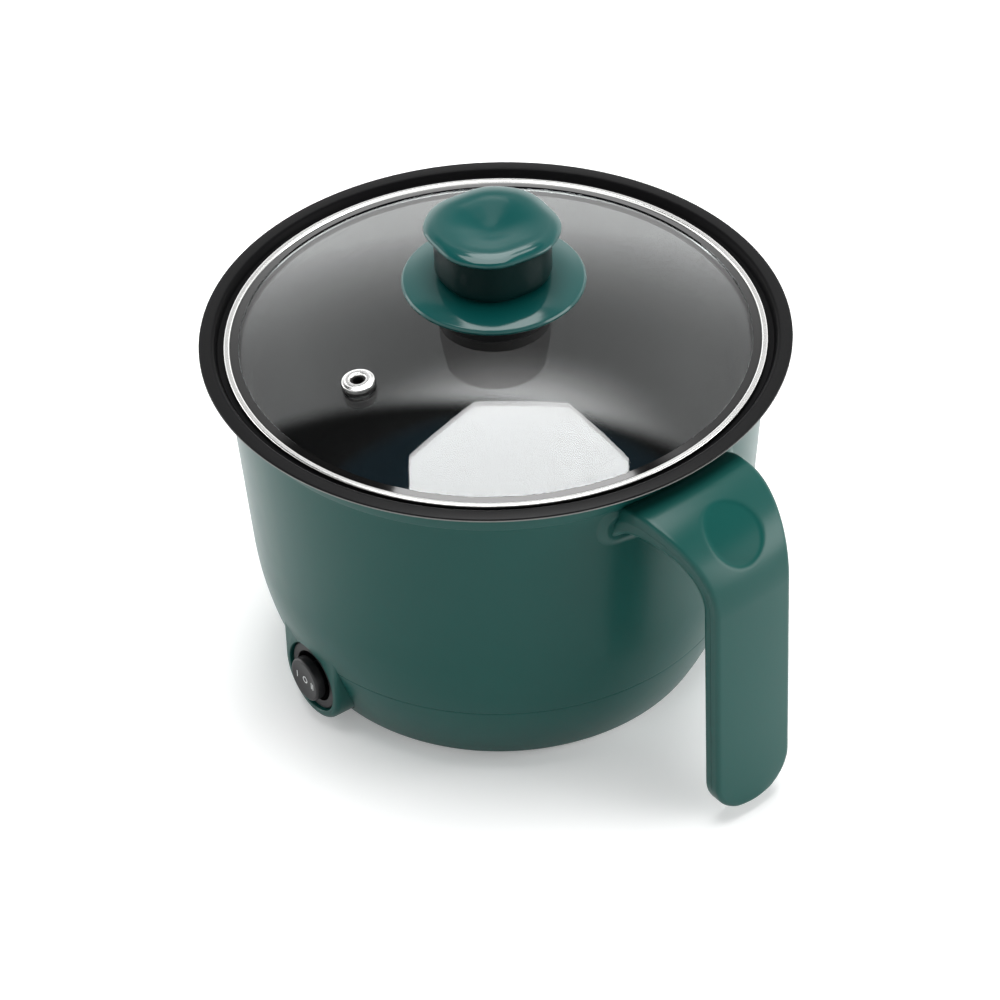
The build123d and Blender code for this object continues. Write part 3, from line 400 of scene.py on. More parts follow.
# Outer housing: the tapered green wall with a flared lip, moulded in one with a flat boss at its foot.
# The boss has a round recess for the switch; the wall meets the base cover along a fine seam.
HOUSING_HEIGHT = 0.1201
LIP_TOP_RADIUS = 0.091
LIP_STEP = 0.0005
SWITCH_HOLE = 0.0126
SWITCH_RECESS = 0.003
PANEL_HOLE = 0.0102
BOSS_ROUND = 0.0018
LIP_ROUND = 0.0003
CAVITY_TOP = 0.07
RECESS_FLARE = (0.003, 0.0035)
BREAK_STEP = 0.004
LIP_GAP = 0.002
BOSS_STEPS = 6
CAVITY_SHARE = 0.9
housing_outline = rounded([
    (wall_radius(SEAM_HEIGHT), SEAM_HEIGHT, SEAM_ROUND),
    *wall_line(SEAM_HEIGHT + EDGE_STEP, BREAK_HEIGHT, 12),
    *wall_line(BREAK_HEIGHT + BREAK_STEP, LIP_FOOT_HEIGHT - LIP_GAP, 12),
    (LIP_FOOT_RADIUS, LIP_FOOT_HEIGHT, LIP_ROUND),
    (LIP_FOOT_RADIUS + LIP_STEP, LIP_FOOT_HEIGHT + LIP_ROUND, LIP_ROUND),
    (LIP_TOP_RADIUS, HOUSING_HEIGHT, 0.0004),
    (LIP_TOP_RADIUS - WALL, HOUSING_HEIGHT, LIP_ROUND),
    (wall_radius(LIP_FOOT_HEIGHT, WALL), LIP_FOOT_HEIGHT, 0),
    *wall_line(BREAK_HEIGHT, SEAM_HEIGHT, 8, WALL),
])
outer_housing = lathe("outer_housing_shell", housing_outline, 288)
boss_rows = [boss_outline(BOSS_RADIUS, -BOSS_DEPTH)]
for k in range(BOSS_STEPS + 1):
    angle = pi / 2 * k / BOSS_STEPS
    inset = BOSS_ROUND * (1 - cos(angle))
    boss_rows.append(boss_outline(BOSS_RADIUS - inset, BOSS_ROUND * (sin(angle) - 1)))
switch_boss = loft("switch_boss", boss_rows, switch_place())
cavity_wall = wall_line(SEAM_HEIGHT, CAVITY_TOP, 12, WALL * CAVITY_SHARE)
cavity_outline = [(0, SEAM_HEIGHT), *[point[:2] for point in cavity_wall], (0, CAVITY_TOP)]
carve(switch_boss, lathe("housing_cavity", cavity_outline, 288))
carve(outer_housing, switch_boss, "UNION")
recess_outline = rounded([
    (0, -BOSS_DEPTH - CUT_PAST, 0),
    (PANEL_HOLE, -BOSS_DEPTH - CUT_PAST, 0),
    (PANEL_HOLE, -SWITCH_RECESS, 0),
    (SWITCH_HOLE, -SWITCH_RECESS, 0),
    (SWITCH_HOLE, -LIP_ROUND, LIP_ROUND),
    (SWITCH_HOLE + RECESS_FLARE[0], RECESS_FLARE[1], 0),
    (0, RECESS_FLARE[1], 0),
])
carve(outer_housing, lathe("switch_recess", recess_outline, 128, switch_place()))
dress(outer_housing, green_plastic, "green_plastic", "cooker", "outer_housing")

# Feet: four soft rubber buttons, let into the base's underside so that the pot stands clear of the table.
# One is turned and a node tree sets out the four.
FOOT_CIRCLE = 0.057
FOOT_RADIUS = 0.006
FOOT_COUNT = 4
FOOT_TALL = 0.0025
black_rubber = finish("black rubber", (0.007, 0.007, 0.007), 0.75, Specular_IOR_Level=0.2)[0]
foot_outline = rounded([
    (0, 0, 0),
    (FOOT_RADIUS, 0, 0.0007),
    (FOOT_RADIUS, FOOT_TALL, 0),
    (0, FOOT_TALL, 0),
])
foot = lathe("foot_button", foot_outline, 32)
feet = ring_of("rubber_feet", foot, FOOT_COUNT, FOOT_CIRCLE, black_rubber, pi / FOOT_COUNT)
smooth_faces(feet.data)
dress(feet, black_rubber, "black_rubber", "cooker", "feet")

# Cord gland: a black flanged bush for the mains cord. It goes through the pad opposite the handle and is held
# by a nut inside the base.
GLAND_BORE = 0.0035
GLAND_FLANGE = 0.0075
GLAND_RIM = 0.002
black_plastic = finish("black plastic", (0.004, 0.0042, 0.0045), 0.34, Specular_IOR_Level=0.2)[0]
gland_outline = rounded([
    (GLAND_BORE, -GLAND_LENGTH, 0),
    (GLAND_BODY, -GLAND_LENGTH, 0),
    (GLAND_BODY, 0, 0),
    (GLAND_FLANGE, 0, 0),
    (GLAND_FLANGE, GLAND_RIM, 0.0007),
    (GLAND_BORE, GLAND_RIM, 0.0006),
])
cord_gland = lathe("cord_gland_bush", gland_outline, 64, gland_place)
dress(cord_gland, black_plastic, "black_plastic", "cooker", "cord_gland")

# Inner pot: a spun aluminium pot with a dark non-stick coat, tinted bluer on its floor as a painted
# reflection. Its flange
#  covers the housing's lip, with a painted highlight line under its edge, and its ledge carries the lid.
RIM_HEIGHT = 0.1254
POT_WALL = 0.0014
LEDGE_HEIGHT = 0.1225
FLANGE_FALL = 0.0002
FLANGE_RADIUS = 0.0975
FLANGE_ROUND = 0.0004
POT_FLOOR = 0.036
POT_NECK = 0.1095
pot_face = [
    (0, POT_FLOOR, 0),
    (0.074, POT_FLOOR, 0.014),
    (0.0814, POT_NECK, 0.020),
    (0.0872, LEDGE_HEIGHT, 0.0025),
    (0.0914, LEDGE_HEIGHT, 0.0008),
    (0.0928, RIM_HEIGHT, 0.0012),
    (FLANGE_RADIUS, RIM_HEIGHT - FLANGE_FALL, FLANGE_ROUND),
]
pot_back = [
    (FLANGE_RADIUS, RIM_HEIGHT - POT_WALL, FLANGE_ROUND),
    (0.0935, RIM_HEIGHT - POT_WALL, 0.0006),
    (0.0924, LEDGE_HEIGHT - POT_WALL, 0.0008),
    (0.0881, LEDGE_HEIGHT - POT_WALL, 0.0011),
    (0.0828, POT_NECK, 0.020),
    (0.0753, POT_FLOOR - POT_WALL, 0.015),
    (0, POT_FLOOR - POT_WALL, 0),
]


def axis_distance(shade):
    """Distance of a shaded point from the Z axis, and its height."""
    place = shade.add("ShaderNodeTexCoord", output=3)
    level = shade.add("ShaderNodeVectorMath", {"operation": "MULTIPLY"}, {0: place, 1: (1, 1, 0)})
    reach = shade.add("ShaderNodeVectorMath", {"operation": "LENGTH"}, {0: level}, 1)
    upright = shade.add("ShaderNodeSeparateXYZ", {}, {0: place}, 2)
    return reach, upright


COAT = (0.0035, 0.0035, 0.0038, 1)
# Painted reflection: the pot's floor is tinted bluer to stand in for a reflection on it.
PAINTED_FLOOR_REFLECTION = (0.004, 0.012, 0.018, 1)
# Painted highlight: a pale grey line under the flange's outer edge stands in for a highlight there.
PAINTED_EDGE_HIGHLIGHT = (0.2, 0.2, 0.195, 1)
COAT_ROUGHNESS = 0.38
FLANGE_SHEEN = 0.17
pot_coat, pot_surface, pot_shade = finish(
    "pot coating", COAT[:3], COAT_ROUGHNESS, Specular_IOR_Level=0.02, Coat_Roughness=0.24)
grain(pot_surface, pot_shade, 0.0008, 0.00005, COAT_ROUGHNESS, 0.08)
pot_reach, pot_height = axis_distance(pot_shade)
pot_reach.ramp(0.0930, 0.0938, 0.0, FLANGE_SHEEN).feed(pot_surface, "Coat Weight")
# Above this height the coat is the wall's; below it the floor carries the painted bluish reflection.
on_wall = pot_height.ramp(0.0362, 0.0385)
# Mask of the painted highlight line along the underside of the flange's outer edge.
on_painted_edge_highlight = pot_reach.ramp(0.0972, 0.0973) * pot_height.ramp(0.1247, 0.1246)
pot_colour = on_painted_edge_highlight.blend(on_wall.blend(PAINTED_FLOOR_REFLECTION, COAT), PAINTED_EDGE_HIGHLIGHT)
pot_colour.feed(pot_surface, "Base Color")
inner_pot = lathe("inner_pot_shell", rounded(pot_face + pot_back, steps=10), 288)
dress(inner_pot, pot_coat, "pot_coating", "cooker", "inner_pot")

# Rim gasket: a flat rubber ring clamped between the housing's top edge and the pot's ledge. It keeps spills
# out of the housing.
GASKET_RADII = (0.0888, 0.0908)
gasket_heights = (HOUSING_HEIGHT, LEDGE_HEIGHT - POT_WALL)
gasket_outline = [(radius, gasket_heights[0]) for radius in GASKET_RADII]
gasket_outline += [(radius, gasket_heights[1]) for radius in reversed(GASKET_RADII)]
rim_gasket = lathe("rim_gasket_ring", gasket_outline, 192)
dress(rim_gasket, black_rubber, "black_rubber", "cooker", "rim_gasket")

# Handle: a green strap that spreads on the wall under the lip, bends over and hangs clear of the housing.
# Two moulded shells are screwed together: the crowned outer one, with a root pad and a matt thumb rest, and
# the inner cover. Each is a skin over sections from the root to the tip.
CREST = Vector((0.0965, 0.1184))
BEND_RADIUS = 0.030
STRAP_THICKNESS = 0.0078
STRAP_LEAN = 0.0017
STRAP_TIP = 0.0042
STRAP_HALF = 0.0159
ROOT_HALF = 0.0225
TIP_CORNER = 0.0135
EDGE_ROUND = 0.0017
ROOT_TOP = 0.1128
ROOT_LOW = 0.1024
ROOT_MIDDLE = 0.1075
ROOT_REACH = wall_radius(ROOT_LOW) - WALL + 0.0012
ROOT_FACE = wall_radius(ROOT_MIDDLE) - 0.0004
SPLIT_SHARE = 0.54
SPLIT_GROOVE = 0.00012
CROWN = 0.0010
COVER_SETBACK = 0.0016
THUMB_ANGLE = radians(49)
THUMB_RADIUS = 0.011
THUMB_DEPTH = 0.0005
THUMB_STRETCH = 1.12
THUMB_EDGE = 0.0020
FLARE = 0.0072
FLARE_RUN = 0.012
BEND_RUN = 0.013
ROOT_DROP = 0.0034
ROOT_FILL = 0.0022
ROOT_STATIONS = 36
BEND_STATIONS = 80
STRAP_STATIONS = 30
TIP_STATIONS = 24
ACROSS_STEPS = 56
STRAP_CREASE = 38
GROOVE_RUN = (0.004, 0.016)
TURN_SHARE = 0.6
ROUND_SHARE = 0.98
FLARE_SHARPENING = 0.7
bend_centre = CREST - Vector((0, BEND_RADIUS))


def smooth(value, low, high):
    """0 below low, 1 above high and an even turn between."""
    share = min(max((value - low) / (high - low), 0), 1)
    return share * share * (3 - 2 * share)


def tangent_arc(crest, end, share):
    """Point on the arc that leaves the crest level and ends at the root."""
    run = crest.x - end.x
    fall = crest.y - end.y
    radius = (run ** 2 + fall ** 2) / (2 * fall)
    angle = asin(run / radius) * share
    return crest + Vector((-radius * sin(angle), radius * (cos(angle) - 1)))


def strap_half(height):
    """Half of the strap's width at a height: round at the tip, even along the strap, wide at the root."""
    tip_rise = height - STRAP_TIP
    if tip_rise < TIP_CORNER:
        return STRAP_HALF - TIP_CORNER + sqrt(max(TIP_CORNER ** 2 - (TIP_CORNER - tip_rise) ** 2, 0))
    rise = max(height - bend_centre.y, 0)
    spread = ROOT_HALF - STRAP_HALF
    sweep = (spread ** 2 + BEND_RADIUS ** 2) / (2 * spread)
    return STRAP_HALF + sweep - sqrt(sweep ** 2 - rise ** 2)


def trumpet(reach):
    """Share of the root's spread at a reach: all of it on the wall, none a little way out."""
    share = min(max((reach - ROOT_FACE) / FLARE_RUN, 0), 1)
    return 1 - sqrt(1 - (1 - share) ** 2)


def strap_stations(tip):
    """(outer point, inner point, inset of the rounded end) from the root to a tip height."""
    stations = []
    inner_crest = CREST - Vector((0, STRAP_THICKNESS))
    for k in range(ROOT_STATIONS):
        share = 1 - k / ROOT_STATIONS
        outer = tangent_arc(CREST, Vector((ROOT_REACH, ROOT_TOP)), share)
        inner = tangent_arc(inner_crest, Vector((ROOT_REACH, ROOT_LOW)), share)
        inner.y -= ROOT_FILL * sin(pi * (0.5 + share / 2)) + ROOT_DROP * trumpet(inner.x)
        stations.append((outer, inner, 0.0))
    for k in range(BEND_STATIONS + 1):
        turn = pi / 2 * k / BEND_STATIONS
        direction = Vector((sin(turn), cos(turn)))
        outer = bend_centre + direction * BEND_RADIUS
        fill = ROOT_FILL * (1 - smooth(k / BEND_STATIONS, 0.0, 0.5))
        inner = bend_centre + direction * (BEND_RADIUS - STRAP_THICKNESS - fill)
        stations.append((outer, inner, 0.0))
    run = tip + TIP_CORNER - bend_centre.y
    heights = [bend_centre.y + run * k / STRAP_STATIONS for k in range(1, STRAP_STATIONS + 1)]
    tip_turns = [pi / 2 * k / TIP_STATIONS for k in range(1, TIP_STATIONS + 1)]
    heights += [tip + TIP_CORNER * (1 - sin(turn)) for turn in tip_turns]
    for height in heights:
        lean = STRAP_LEAN * (bend_centre.y - height) / (bend_centre.y - STRAP_TIP)
        outer = Vector((CREST.x + BEND_RADIUS + lean, height))
        rise = min(height - tip, EDGE_ROUND)
        inset = EDGE_ROUND - sqrt(max(EDGE_ROUND ** 2 - (EDGE_ROUND - rise) ** 2, 0))
        stations.append((outer, outer - Vector((STRAP_THICKNESS, 0)), inset))
    return stations


def thumb_hollow(outer, across):
    """Depth of the thumb rest at a point of the outer face."""
    out = outer - bend_centre
    along = BEND_RADIUS * out.angle_signed(Vector((cos(THUMB_ANGLE), sin(THUMB_ANGLE))))
    away = hypot(along / THUMB_STRETCH, across)
    return THUMB_DEPTH * smooth(THUMB_RADIUS - away, 0, THUMB_EDGE)


def root_bend(reach, across):
    """How far a point near the root falls back to follow the round wall."""
    share = 1 - smooth(reach, ROOT_FACE, ROOT_FACE + BEND_RUN)
    return share * (ROOT_REACH - sqrt(ROOT_REACH ** 2 - across ** 2))


def strap_shell(name, front, tip):
    """One of the strap's two shells, as a skin over its sections."""
    loops = []
    for outer, inner, inset in strap_stations(tip):
        thick = (inner - outer).length
        inwards = (inner - outer).normalized()
        half = strap_half(max(outer.y, STRAP_TIP + (outer.y - tip))) - inset
        flare = FLARE * trumpet(outer.x)
        split = thick * SPLIT_SHARE
        groove = SPLIT_GROOVE * smooth(outer.x - ROOT_REACH, *GROOVE_RUN)
        split_half = half + flare * SPLIT_SHARE
        turn = min(EDGE_ROUND, half * TURN_SHARE)
        if front:
            near = inset
            far = split - groove
        else:
            near = thick - inset
            far = split + groove
            split_half -= groove
            half += flare - groove
            turn *= 1 - FLARE_SHARPENING * flare / FLARE
        flat = half - turn
        middle = [(-flat + 2 * flat * k / ACROSS_STEPS, near, 0) for k in range(1, ACROSS_STEPS)]
        corners = [(-split_half, far, 0), (-half, near, turn * ROUND_SHARE), *middle]
        corners += [(half, near, turn * ROUND_SHARE), (split_half, far, 0)]
        row = []
        for across, depth in rounded(corners):
            if front:
                share = 1 - (depth - near) / (far - near)
                depth += share * (CROWN * (across / half) ** 2 + thumb_hollow(outer, across))
            point = outer + inwards * depth
            row.append((point.x - root_bend(point.x, across), across, point.y))
        loops.append(row)
    return loft(name, loops, crease=STRAP_CREASE)


handle_outer = strap_shell("handle_outer_shell", True, STRAP_TIP)
PAD_ANGLE = radians(19.3)
PAD_TOP = 0.1150
PAD_LOW = 0.0990
PAD_THICKNESS = 0.0009
PAD_ROUND = 0.0075
PAD_EDGE = 0.0036
PAD_SINK = 0.0004
PAD_STEPS = 9
PAD_SPANS = 40
pad_loops = []
pad_middle = (PAD_TOP + PAD_LOW) / 2
pad_reach = PAD_ANGLE * wall_radius(pad_middle)
pad_rows = [(-PAD_SINK, 0.0)]
for k in range(PAD_STEPS + 1):
    pad_rows.append((PAD_THICKNESS * smooth(k / PAD_STEPS, 0, 1), PAD_EDGE * k / PAD_STEPS))
for stand, inset in pad_rows:
    reach = pad_reach - inset
    half = (PAD_TOP - PAD_LOW) / 2 - inset
    turn = min(PAD_ROUND - inset, half * ROUND_SHARE)
    flat = reach - turn
    span = [-flat + 2 * flat * k / PAD_SPANS for k in range(1, PAD_SPANS)]
    corners = [(-reach, -half, turn), *[(s, -half, 0) for s in span], (reach, -half, turn)]
    corners += [(reach, half, turn), *[(-s, half, 0) for s in span], (-reach, half, turn)]
    row = []
    for along, up in rounded(corners):
        height = pad_middle + up
        radius = wall_radius(height) + stand
        angle = along / wall_radius(pad_middle)
        row.append((radius * cos(angle), radius * sin(angle), height))
    pad_loops.append(row)
root_pad = loft("handle_root_pad", pad_loops, crease=STRAP_CREASE)
carve(handle_outer, root_pad, "UNION", STRAP_CREASE)
HANDLE_ROUGHNESS = 0.32
HANDLE_COAT = 0.38
THUMB_COAT = 0.05
THUMB_FADE = (0.0012, 0.0004)
handle_gloss = {"Specular_IOR_Level": 0.03, "Coat_Roughness": 0.3, "Coat_IOR": 1.5}
handle_green, handle_surface, handle_shade = finish("handle green", GREEN, HANDLE_ROUGHNESS, **handle_gloss)
grain(handle_surface, handle_shade, GRAIN_SIZE, GRAIN_DEPTH, HANDLE_ROUGHNESS, GRAIN_SPREAD)
thumb_face = bend_centre + Vector((cos(THUMB_ANGLE), sin(THUMB_ANGLE))) * BEND_RADIUS
handle_point = handle_shade.add("ShaderNodeTexCoord", output=3)
thumb_from = handle_shade.add(
    "ShaderNodeVectorMath", {"operation": "SUBTRACT"}, {0: handle_point, 1: (thumb_face.x, 0, thumb_face.y)})
thumb_axes = ((-sin(THUMB_ANGLE) / THUMB_STRETCH, 0, cos(THUMB_ANGLE) / THUMB_STRETCH), (0, 1, 0))
thumb_parts = []
for axis in thumb_axes:
    part = handle_shade.add("ShaderNodeVectorMath", {"operation": "DOT_PRODUCT"}, {0: thumb_from, 1: axis}, 1)
    thumb_parts.append(part * part)
thumb_away = handle_shade.sum_of("POWER", thumb_parts[0] + thumb_parts[1], 0.5)
thumb_rim = [THUMB_RADIUS - inset for inset in THUMB_FADE]
off_thumb = thumb_away.ramp(*thumb_rim, THUMB_COAT, HANDLE_COAT)
off_thumb.feed(handle_surface, "Coat Weight")
dress(handle_outer, handle_green, "green_plastic", "cooker", "handle_outer")
handle_inner = strap_shell("handle_inner_cover_shell", False, STRAP_TIP + COVER_SETBACK)
cover_green, cover_surface, cover_shade = finish(
    "cover green", GREEN, HANDLE_ROUGHNESS, Coat_Weight=HANDLE_COAT, **handle_gloss)
grain(cover_surface, cover_shade, GRAIN_SIZE, GRAIN_DEPTH, HANDLE_ROUGHNESS, GRAIN_SPREAD)
dress(handle_inner, cover_green, "green_plastic", "cooker", "handle_inner_cover")

# Switch body: a round snap-in switch in black plastic. Its barrel goes through the panel and its bezel lies
# on the panel, at the bottom of the recess.
BEZEL_RADIUS = 0.0123
BEZEL_THICKNESS = 0.002
BARREL_RADIUS = 0.010
ROCKER_OPENING = 0.0092
BARREL_BACK = -0.019
OPENING_FLOOR = -0.014
switch_black = finish("switch black", (0.007, 0.007, 0.008), 0.42, Specular_IOR_Level=0.3)[0]
body_outline = rounded([
    (0, BARREL_BACK, 0),
    (BARREL_RADIUS, BARREL_BACK, 0.0005),
    (BARREL_RADIUS, -SWITCH_RECESS, 0),
    (BEZEL_RADIUS, -SWITCH_RECESS, 0),
    (BEZEL_RADIUS, BEZEL_THICKNESS - SWITCH_RECESS, 0.0008),
    (ROCKER_OPENING, BEZEL_THICKNESS - SWITCH_RECESS, 0.0003),
    (ROCKER_OPENING, OPENING_FLOOR, 0),
    (0, OPENING_FLOOR, 0),
])
switch_body = lathe("switch_body_shell", body_outline, 128, switch_place())
dress(switch_body, switch_black, "switch_black", "cooker", "switch_body")

# Rocker: a round black paddle, slightly hollow, that tips about a pivot inside the switch's barrel. Its three
# positions are marked in pale print, made as thin bars and a ring on its face.
ROCKER_RADIUS = 0.0078
ROCKER_FACE = 0.003
ROCKER_HOLLOW = 0.0006
PIVOT_OUT = -0.008
ROCKER_BACK = -0.0007
rocker_rows = [
    (0, PIVOT_OUT, 0),
    (0.0035, PIVOT_OUT, 0),
    (0.0049, ROCKER_BACK, 0),
    (ROCKER_RADIUS, ROCKER_BACK, 0.0003),
    (ROCKER_RADIUS, ROCKER_FACE, 0.0008),
]
for share in (0.8, 0.6, 0.4, 0.2, 0):
    rocker_rows.append((ROCKER_RADIUS * share, ROCKER_FACE - ROCKER_HOLLOW * (1 - share * share), 0))
switch_rocker = lathe("switch_rocker_paddle", rounded(rocker_rows), 96, switch_place())
dress(switch_rocker, switch_black, "switch_black", "rocker", "switch_rocker")
MARK_HEIGHT = 0.0026
MARK_STROKE = 0.0004
MARK_SPREAD = 0.0044
MARK_SINK = 0.0001
MARK_PAIR = 0.0005
MARK_RING = 0.0009
BAR_PROUD = 0.00004
RING_PROUD = 0.00006
mark_white = finish("switch marks", (0.62, 0.64, 0.64), 0.5)[0]


def mark_bar(across, height, wide, tall):
    """Thin printed bar on the paddle."""
    rows = []
    corners = ((-1, -1), (1, -1), (1, 1), (-1, 1))
    for out in (-MARK_SINK, BAR_PROUD):
        face = ROCKER_FACE - ROCKER_HOLLOW * (1 - (across / ROCKER_RADIUS) ** 2) + out
        rows.append([(across + sx * wide / 2, height + sy * tall / 2, face) for sx, sy in corners])
    return loft("mark", rows, switch_place())


marks = [mark_bar(-MARK_SPREAD, 0, MARK_STROKE, MARK_HEIGHT)]
marks += [mark_bar(MARK_SPREAD + side * MARK_PAIR, 0, MARK_STROKE, MARK_HEIGHT) for side in (-1, 1)]
ring_face = ROCKER_FACE - ROCKER_HOLLOW
ring_radii = (MARK_RING, MARK_RING + MARK_STROKE)
ring_outline = [(radius, ring_face - MARK_SINK) for radius in ring_radii]
ring_outline += [(radius, ring_face + RING_PROUD) for radius in reversed(ring_radii)]
marks.append(lathe("mark", ring_outline, 40, switch_place()))
mark_shape = bmesh.new()
for mark in marks:
    mark_shape.from_mesh(mark.data)
    bpy.data.objects.remove(mark)
mark_mesh = bpy.data.meshes.new("switch_marks")
mark_shape.to_mesh(mark_mesh)
mark_shape.free()
switch_marks = bpy.data.objects.new("switch_marks", mark_mesh)
bpy.context.collection.objects.link(switch_marks)
switch_marks.data.materials.append(mark_white)
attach(switch_marks, "rocker")

# Lid glass: a shallow dome of tempered glass, even in thickness and turned in one, bored for the knob's screw
# and for the vent. Light passes through it to the pot without a hard shadow.
GLASS_RADIUS = 0.08485
GLASS_FOOT = 0.1201
GLASS_THICKNESS = 0.0032
GLASS_RISE = 0.0075
GLASS_BEVEL = 0.0006
GLASS_ROWS = 40
glass_edge = GLASS_FOOT + GLASS_THICKNESS
dome_radius = (GLASS_RADIUS ** 2 + GLASS_RISE ** 2) / (2 * GLASS_RISE)
dome_centre = glass_edge + GLASS_RISE - dome_radius


def dome_height(radius):
    """Height of the glass's upper face at a distance from its axis."""
    return dome_centre + sqrt(dome_radius ** 2 - radius ** 2)


GLASS_HOLE = 0.004
glass_width = GLASS_RADIUS - GLASS_BEVEL - GLASS_HOLE
glass_rows = [GLASS_HOLE + glass_width * k / GLASS_ROWS for k in range(GLASS_ROWS + 1)]
glass_outline = [(radius, dome_height(radius), 0) for radius in glass_rows]
glass_outline += [(GLASS_RADIUS, glass_edge - GLASS_BEVEL, 0), (GLASS_RADIUS, GLASS_FOOT + GLASS_BEVEL, 0)]
glass_outline += [(radius, dome_height(radius) - GLASS_THICKNESS, 0) for radius in reversed(glass_rows)]
lid_glass = lathe("lid_glass_dome", rounded(glass_outline), 240)
clear_glass, glass_surface, glass_shade = finish(
    "clear glass", (0.86, 0.9, 0.9), 0.015, IOR=1.5, Transmission_Weight=1.0)


def ray_facts(shade, *names):
    """Sum of the named facts about a ray, such as its kind or its length."""
    facts = shade.add("ShaderNodeLightPath").socket.node.outputs
    total = Shade(shade.tree, facts[names[0]])
    for name in names[1:]:
        total = total + Shade(shade.tree, facts[name])
    return total


def open_to(material, surface, shade, factor, tint):
    """Let rays pass through a surface by a factor."""
    passing = shade.add("ShaderNodeBsdfTransparent", {}, {"Color": tint})
    coat = Shade(shade.tree, surface.outputs["BSDF"])
    both = shade.add("ShaderNodeMixShader", {}, {0: factor, 1: coat, 2: passing})
    both.feed(material.node_tree.nodes["Material Output"], "Surface")


glass_light = ray_facts(glass_shade, "Is Shadow Ray", "Is Diffuse Ray")
open_to(clear_glass, glass_surface, glass_shade, glass_light, (0.9, 0.92, 0.92, 1))
VENT_CIRCLE = GLASS_RADIUS * 0.636
VENT_ANGLE = radians(-94.4)
VENT_HOLE = 0.0036
VENT_CUT = (-0.006, 0.003)
vent_foot = Vector((VENT_CIRCLE * cos(VENT_ANGLE), VENT_CIRCLE * sin(VENT_ANGLE), dome_height(VENT_CIRCLE)))
vent_out = (vent_foot - Vector((0, 0, dome_centre))).normalized()
vent_place = Matrix.Translation(vent_foot) @ vent_out.to_track_quat("Z", "Y").to_matrix().to_4x4()
hole_outline = [(0, VENT_CUT[0]), (VENT_HOLE, VENT_CUT[0]), (VENT_HOLE, VENT_CUT[1]), (0, VENT_CUT[1])]
carve(lid_glass, lathe("vent_hole", hole_outline, 48, vent_place))
dress(lid_glass, clear_glass, "lid_glass", "lid", "lid_glass")

# Lid band: bright steel folded round the glass's edge, with a hem over the pot's ledge and a skirt that
# centres the lid. A black ring, in line with the dome, closes the gap between the hem and the glass.
LID_RADIUS = 0.0895
HEM_LOW = LEDGE_HEIGHT + 0.0003
HEM_HEIGHT = 0.0012
HEM_WIDTH = 0.0019
SKIRT_RADIUS = 0.0854
SKIRT_LOW = 0.1196
SHEET = 0.0005
BAND_LIP = 0.0011
SEAL_RADIUS = 0.0870
HEM_TURN = 0.0003
band_outline = rounded([
    (SKIRT_RADIUS - BAND_LIP, SKIRT_LOW, 0),
    (SKIRT_RADIUS, SKIRT_LOW, 0.0004),
    (SKIRT_RADIUS, HEM_LOW, 0),
    (LID_RADIUS, HEM_LOW, 0.0004),
    (LID_RADIUS, HEM_LOW + HEM_HEIGHT, 0.0006),
    (LID_RADIUS - HEM_WIDTH, HEM_LOW + HEM_HEIGHT, 0.0005),
    (LID_RADIUS - HEM_WIDTH - HEM_TURN, HEM_LOW + SHEET, 0.0002),
    (SKIRT_RADIUS - SHEET, HEM_LOW + SHEET, 0.0002),
    (SKIRT_RADIUS - SHEET, SKIRT_LOW + SHEET, 0),
    (SKIRT_RADIUS - BAND_LIP, SKIRT_LOW + SHEET, 0),
])
bright_steel = finish("bright steel", (0.62, 0.62, 0.61), 0.2, Metallic=1.0)[0]
lid_band = lathe("lid_band_ring", band_outline, 288)
dress(lid_band, bright_steel, "bright_steel", "lid", "lid_band")
SEAL_STEP = 0.00008
SEAL_GAP = 0.0002
SEAL_LAP = 0.0003
SEAL_OVER = 0.0005
SEAL_UNDER = 0.0001
seal_low = HEM_LOW + SHEET
seal_edge = LID_RADIUS - HEM_WIDTH - SEAL_GAP
seal_outline = rounded([
    (SKIRT_RADIUS - SHEET, seal_low, 0),
    (seal_edge, seal_low, 0),
    (seal_edge, seal_low + SEAL_STEP, 0),
    (SEAL_RADIUS, seal_low + SEAL_STEP, 0),
    (SEAL_RADIUS, seal_low + 2 * SEAL_STEP, 0),
    (GLASS_RADIUS - SEAL_LAP, glass_edge + SEAL_OVER, 0),
    (GLASS_RADIUS - SEAL_LAP, glass_edge - SEAL_UNDER, 0),
])
lid_seal = lathe("lid_seal_ring", seal_outline, 288)
seal_black = finish("seal black", (0.004, 0.004, 0.004), 0.05)[0]
dress(lid_seal, seal_black, "black_rubber", "lid", "lid_seal")

# Vent: a bright steel eyelet that lets steam out, on a black rubber washer. It is flared over under the
# glass, and a dark liner, in one with the washer, lies in its bore.
VENT_OUTER = 0.0054
VENT_BORE = 0.00225
VENT_NECK = 0.0034
WASHER = 0.0008
EYELET = 0.0022
VENT_FLARE_LOW = -0.0039
VENT_FLARE_TOP = -0.0034
VENT_FLARE = 0.0012
LINER = 0.0004
eyelet_outline = rounded([
    (VENT_BORE, VENT_FLARE_LOW, 0),
    (VENT_NECK + VENT_FLARE, VENT_FLARE_LOW, 0),
    (VENT_NECK + VENT_FLARE, VENT_FLARE_TOP, 0),
    (VENT_NECK, VENT_FLARE_TOP, 0),
    (VENT_NECK, WASHER, 0),
    (VENT_OUTER, WASHER, 0),
    (VENT_OUTER, WASHER + EYELET - 0.0006, 0.0004),
    (VENT_NECK + 0.0009, WASHER + EYELET - 0.0004, 0.0002),
    (VENT_NECK + 0.0007, WASHER + EYELET, 0.0002),
    (VENT_BORE + 0.0005, WASHER + EYELET, 0.0004),
    (VENT_BORE, WASHER + EYELET - 0.0008, 0),
])
vent_eyelet = lathe("vent_eyelet_ring", eyelet_outline, 96, vent_place)
dress(vent_eyelet, bright_steel, "bright_steel", "lid", "vent_eyelet")
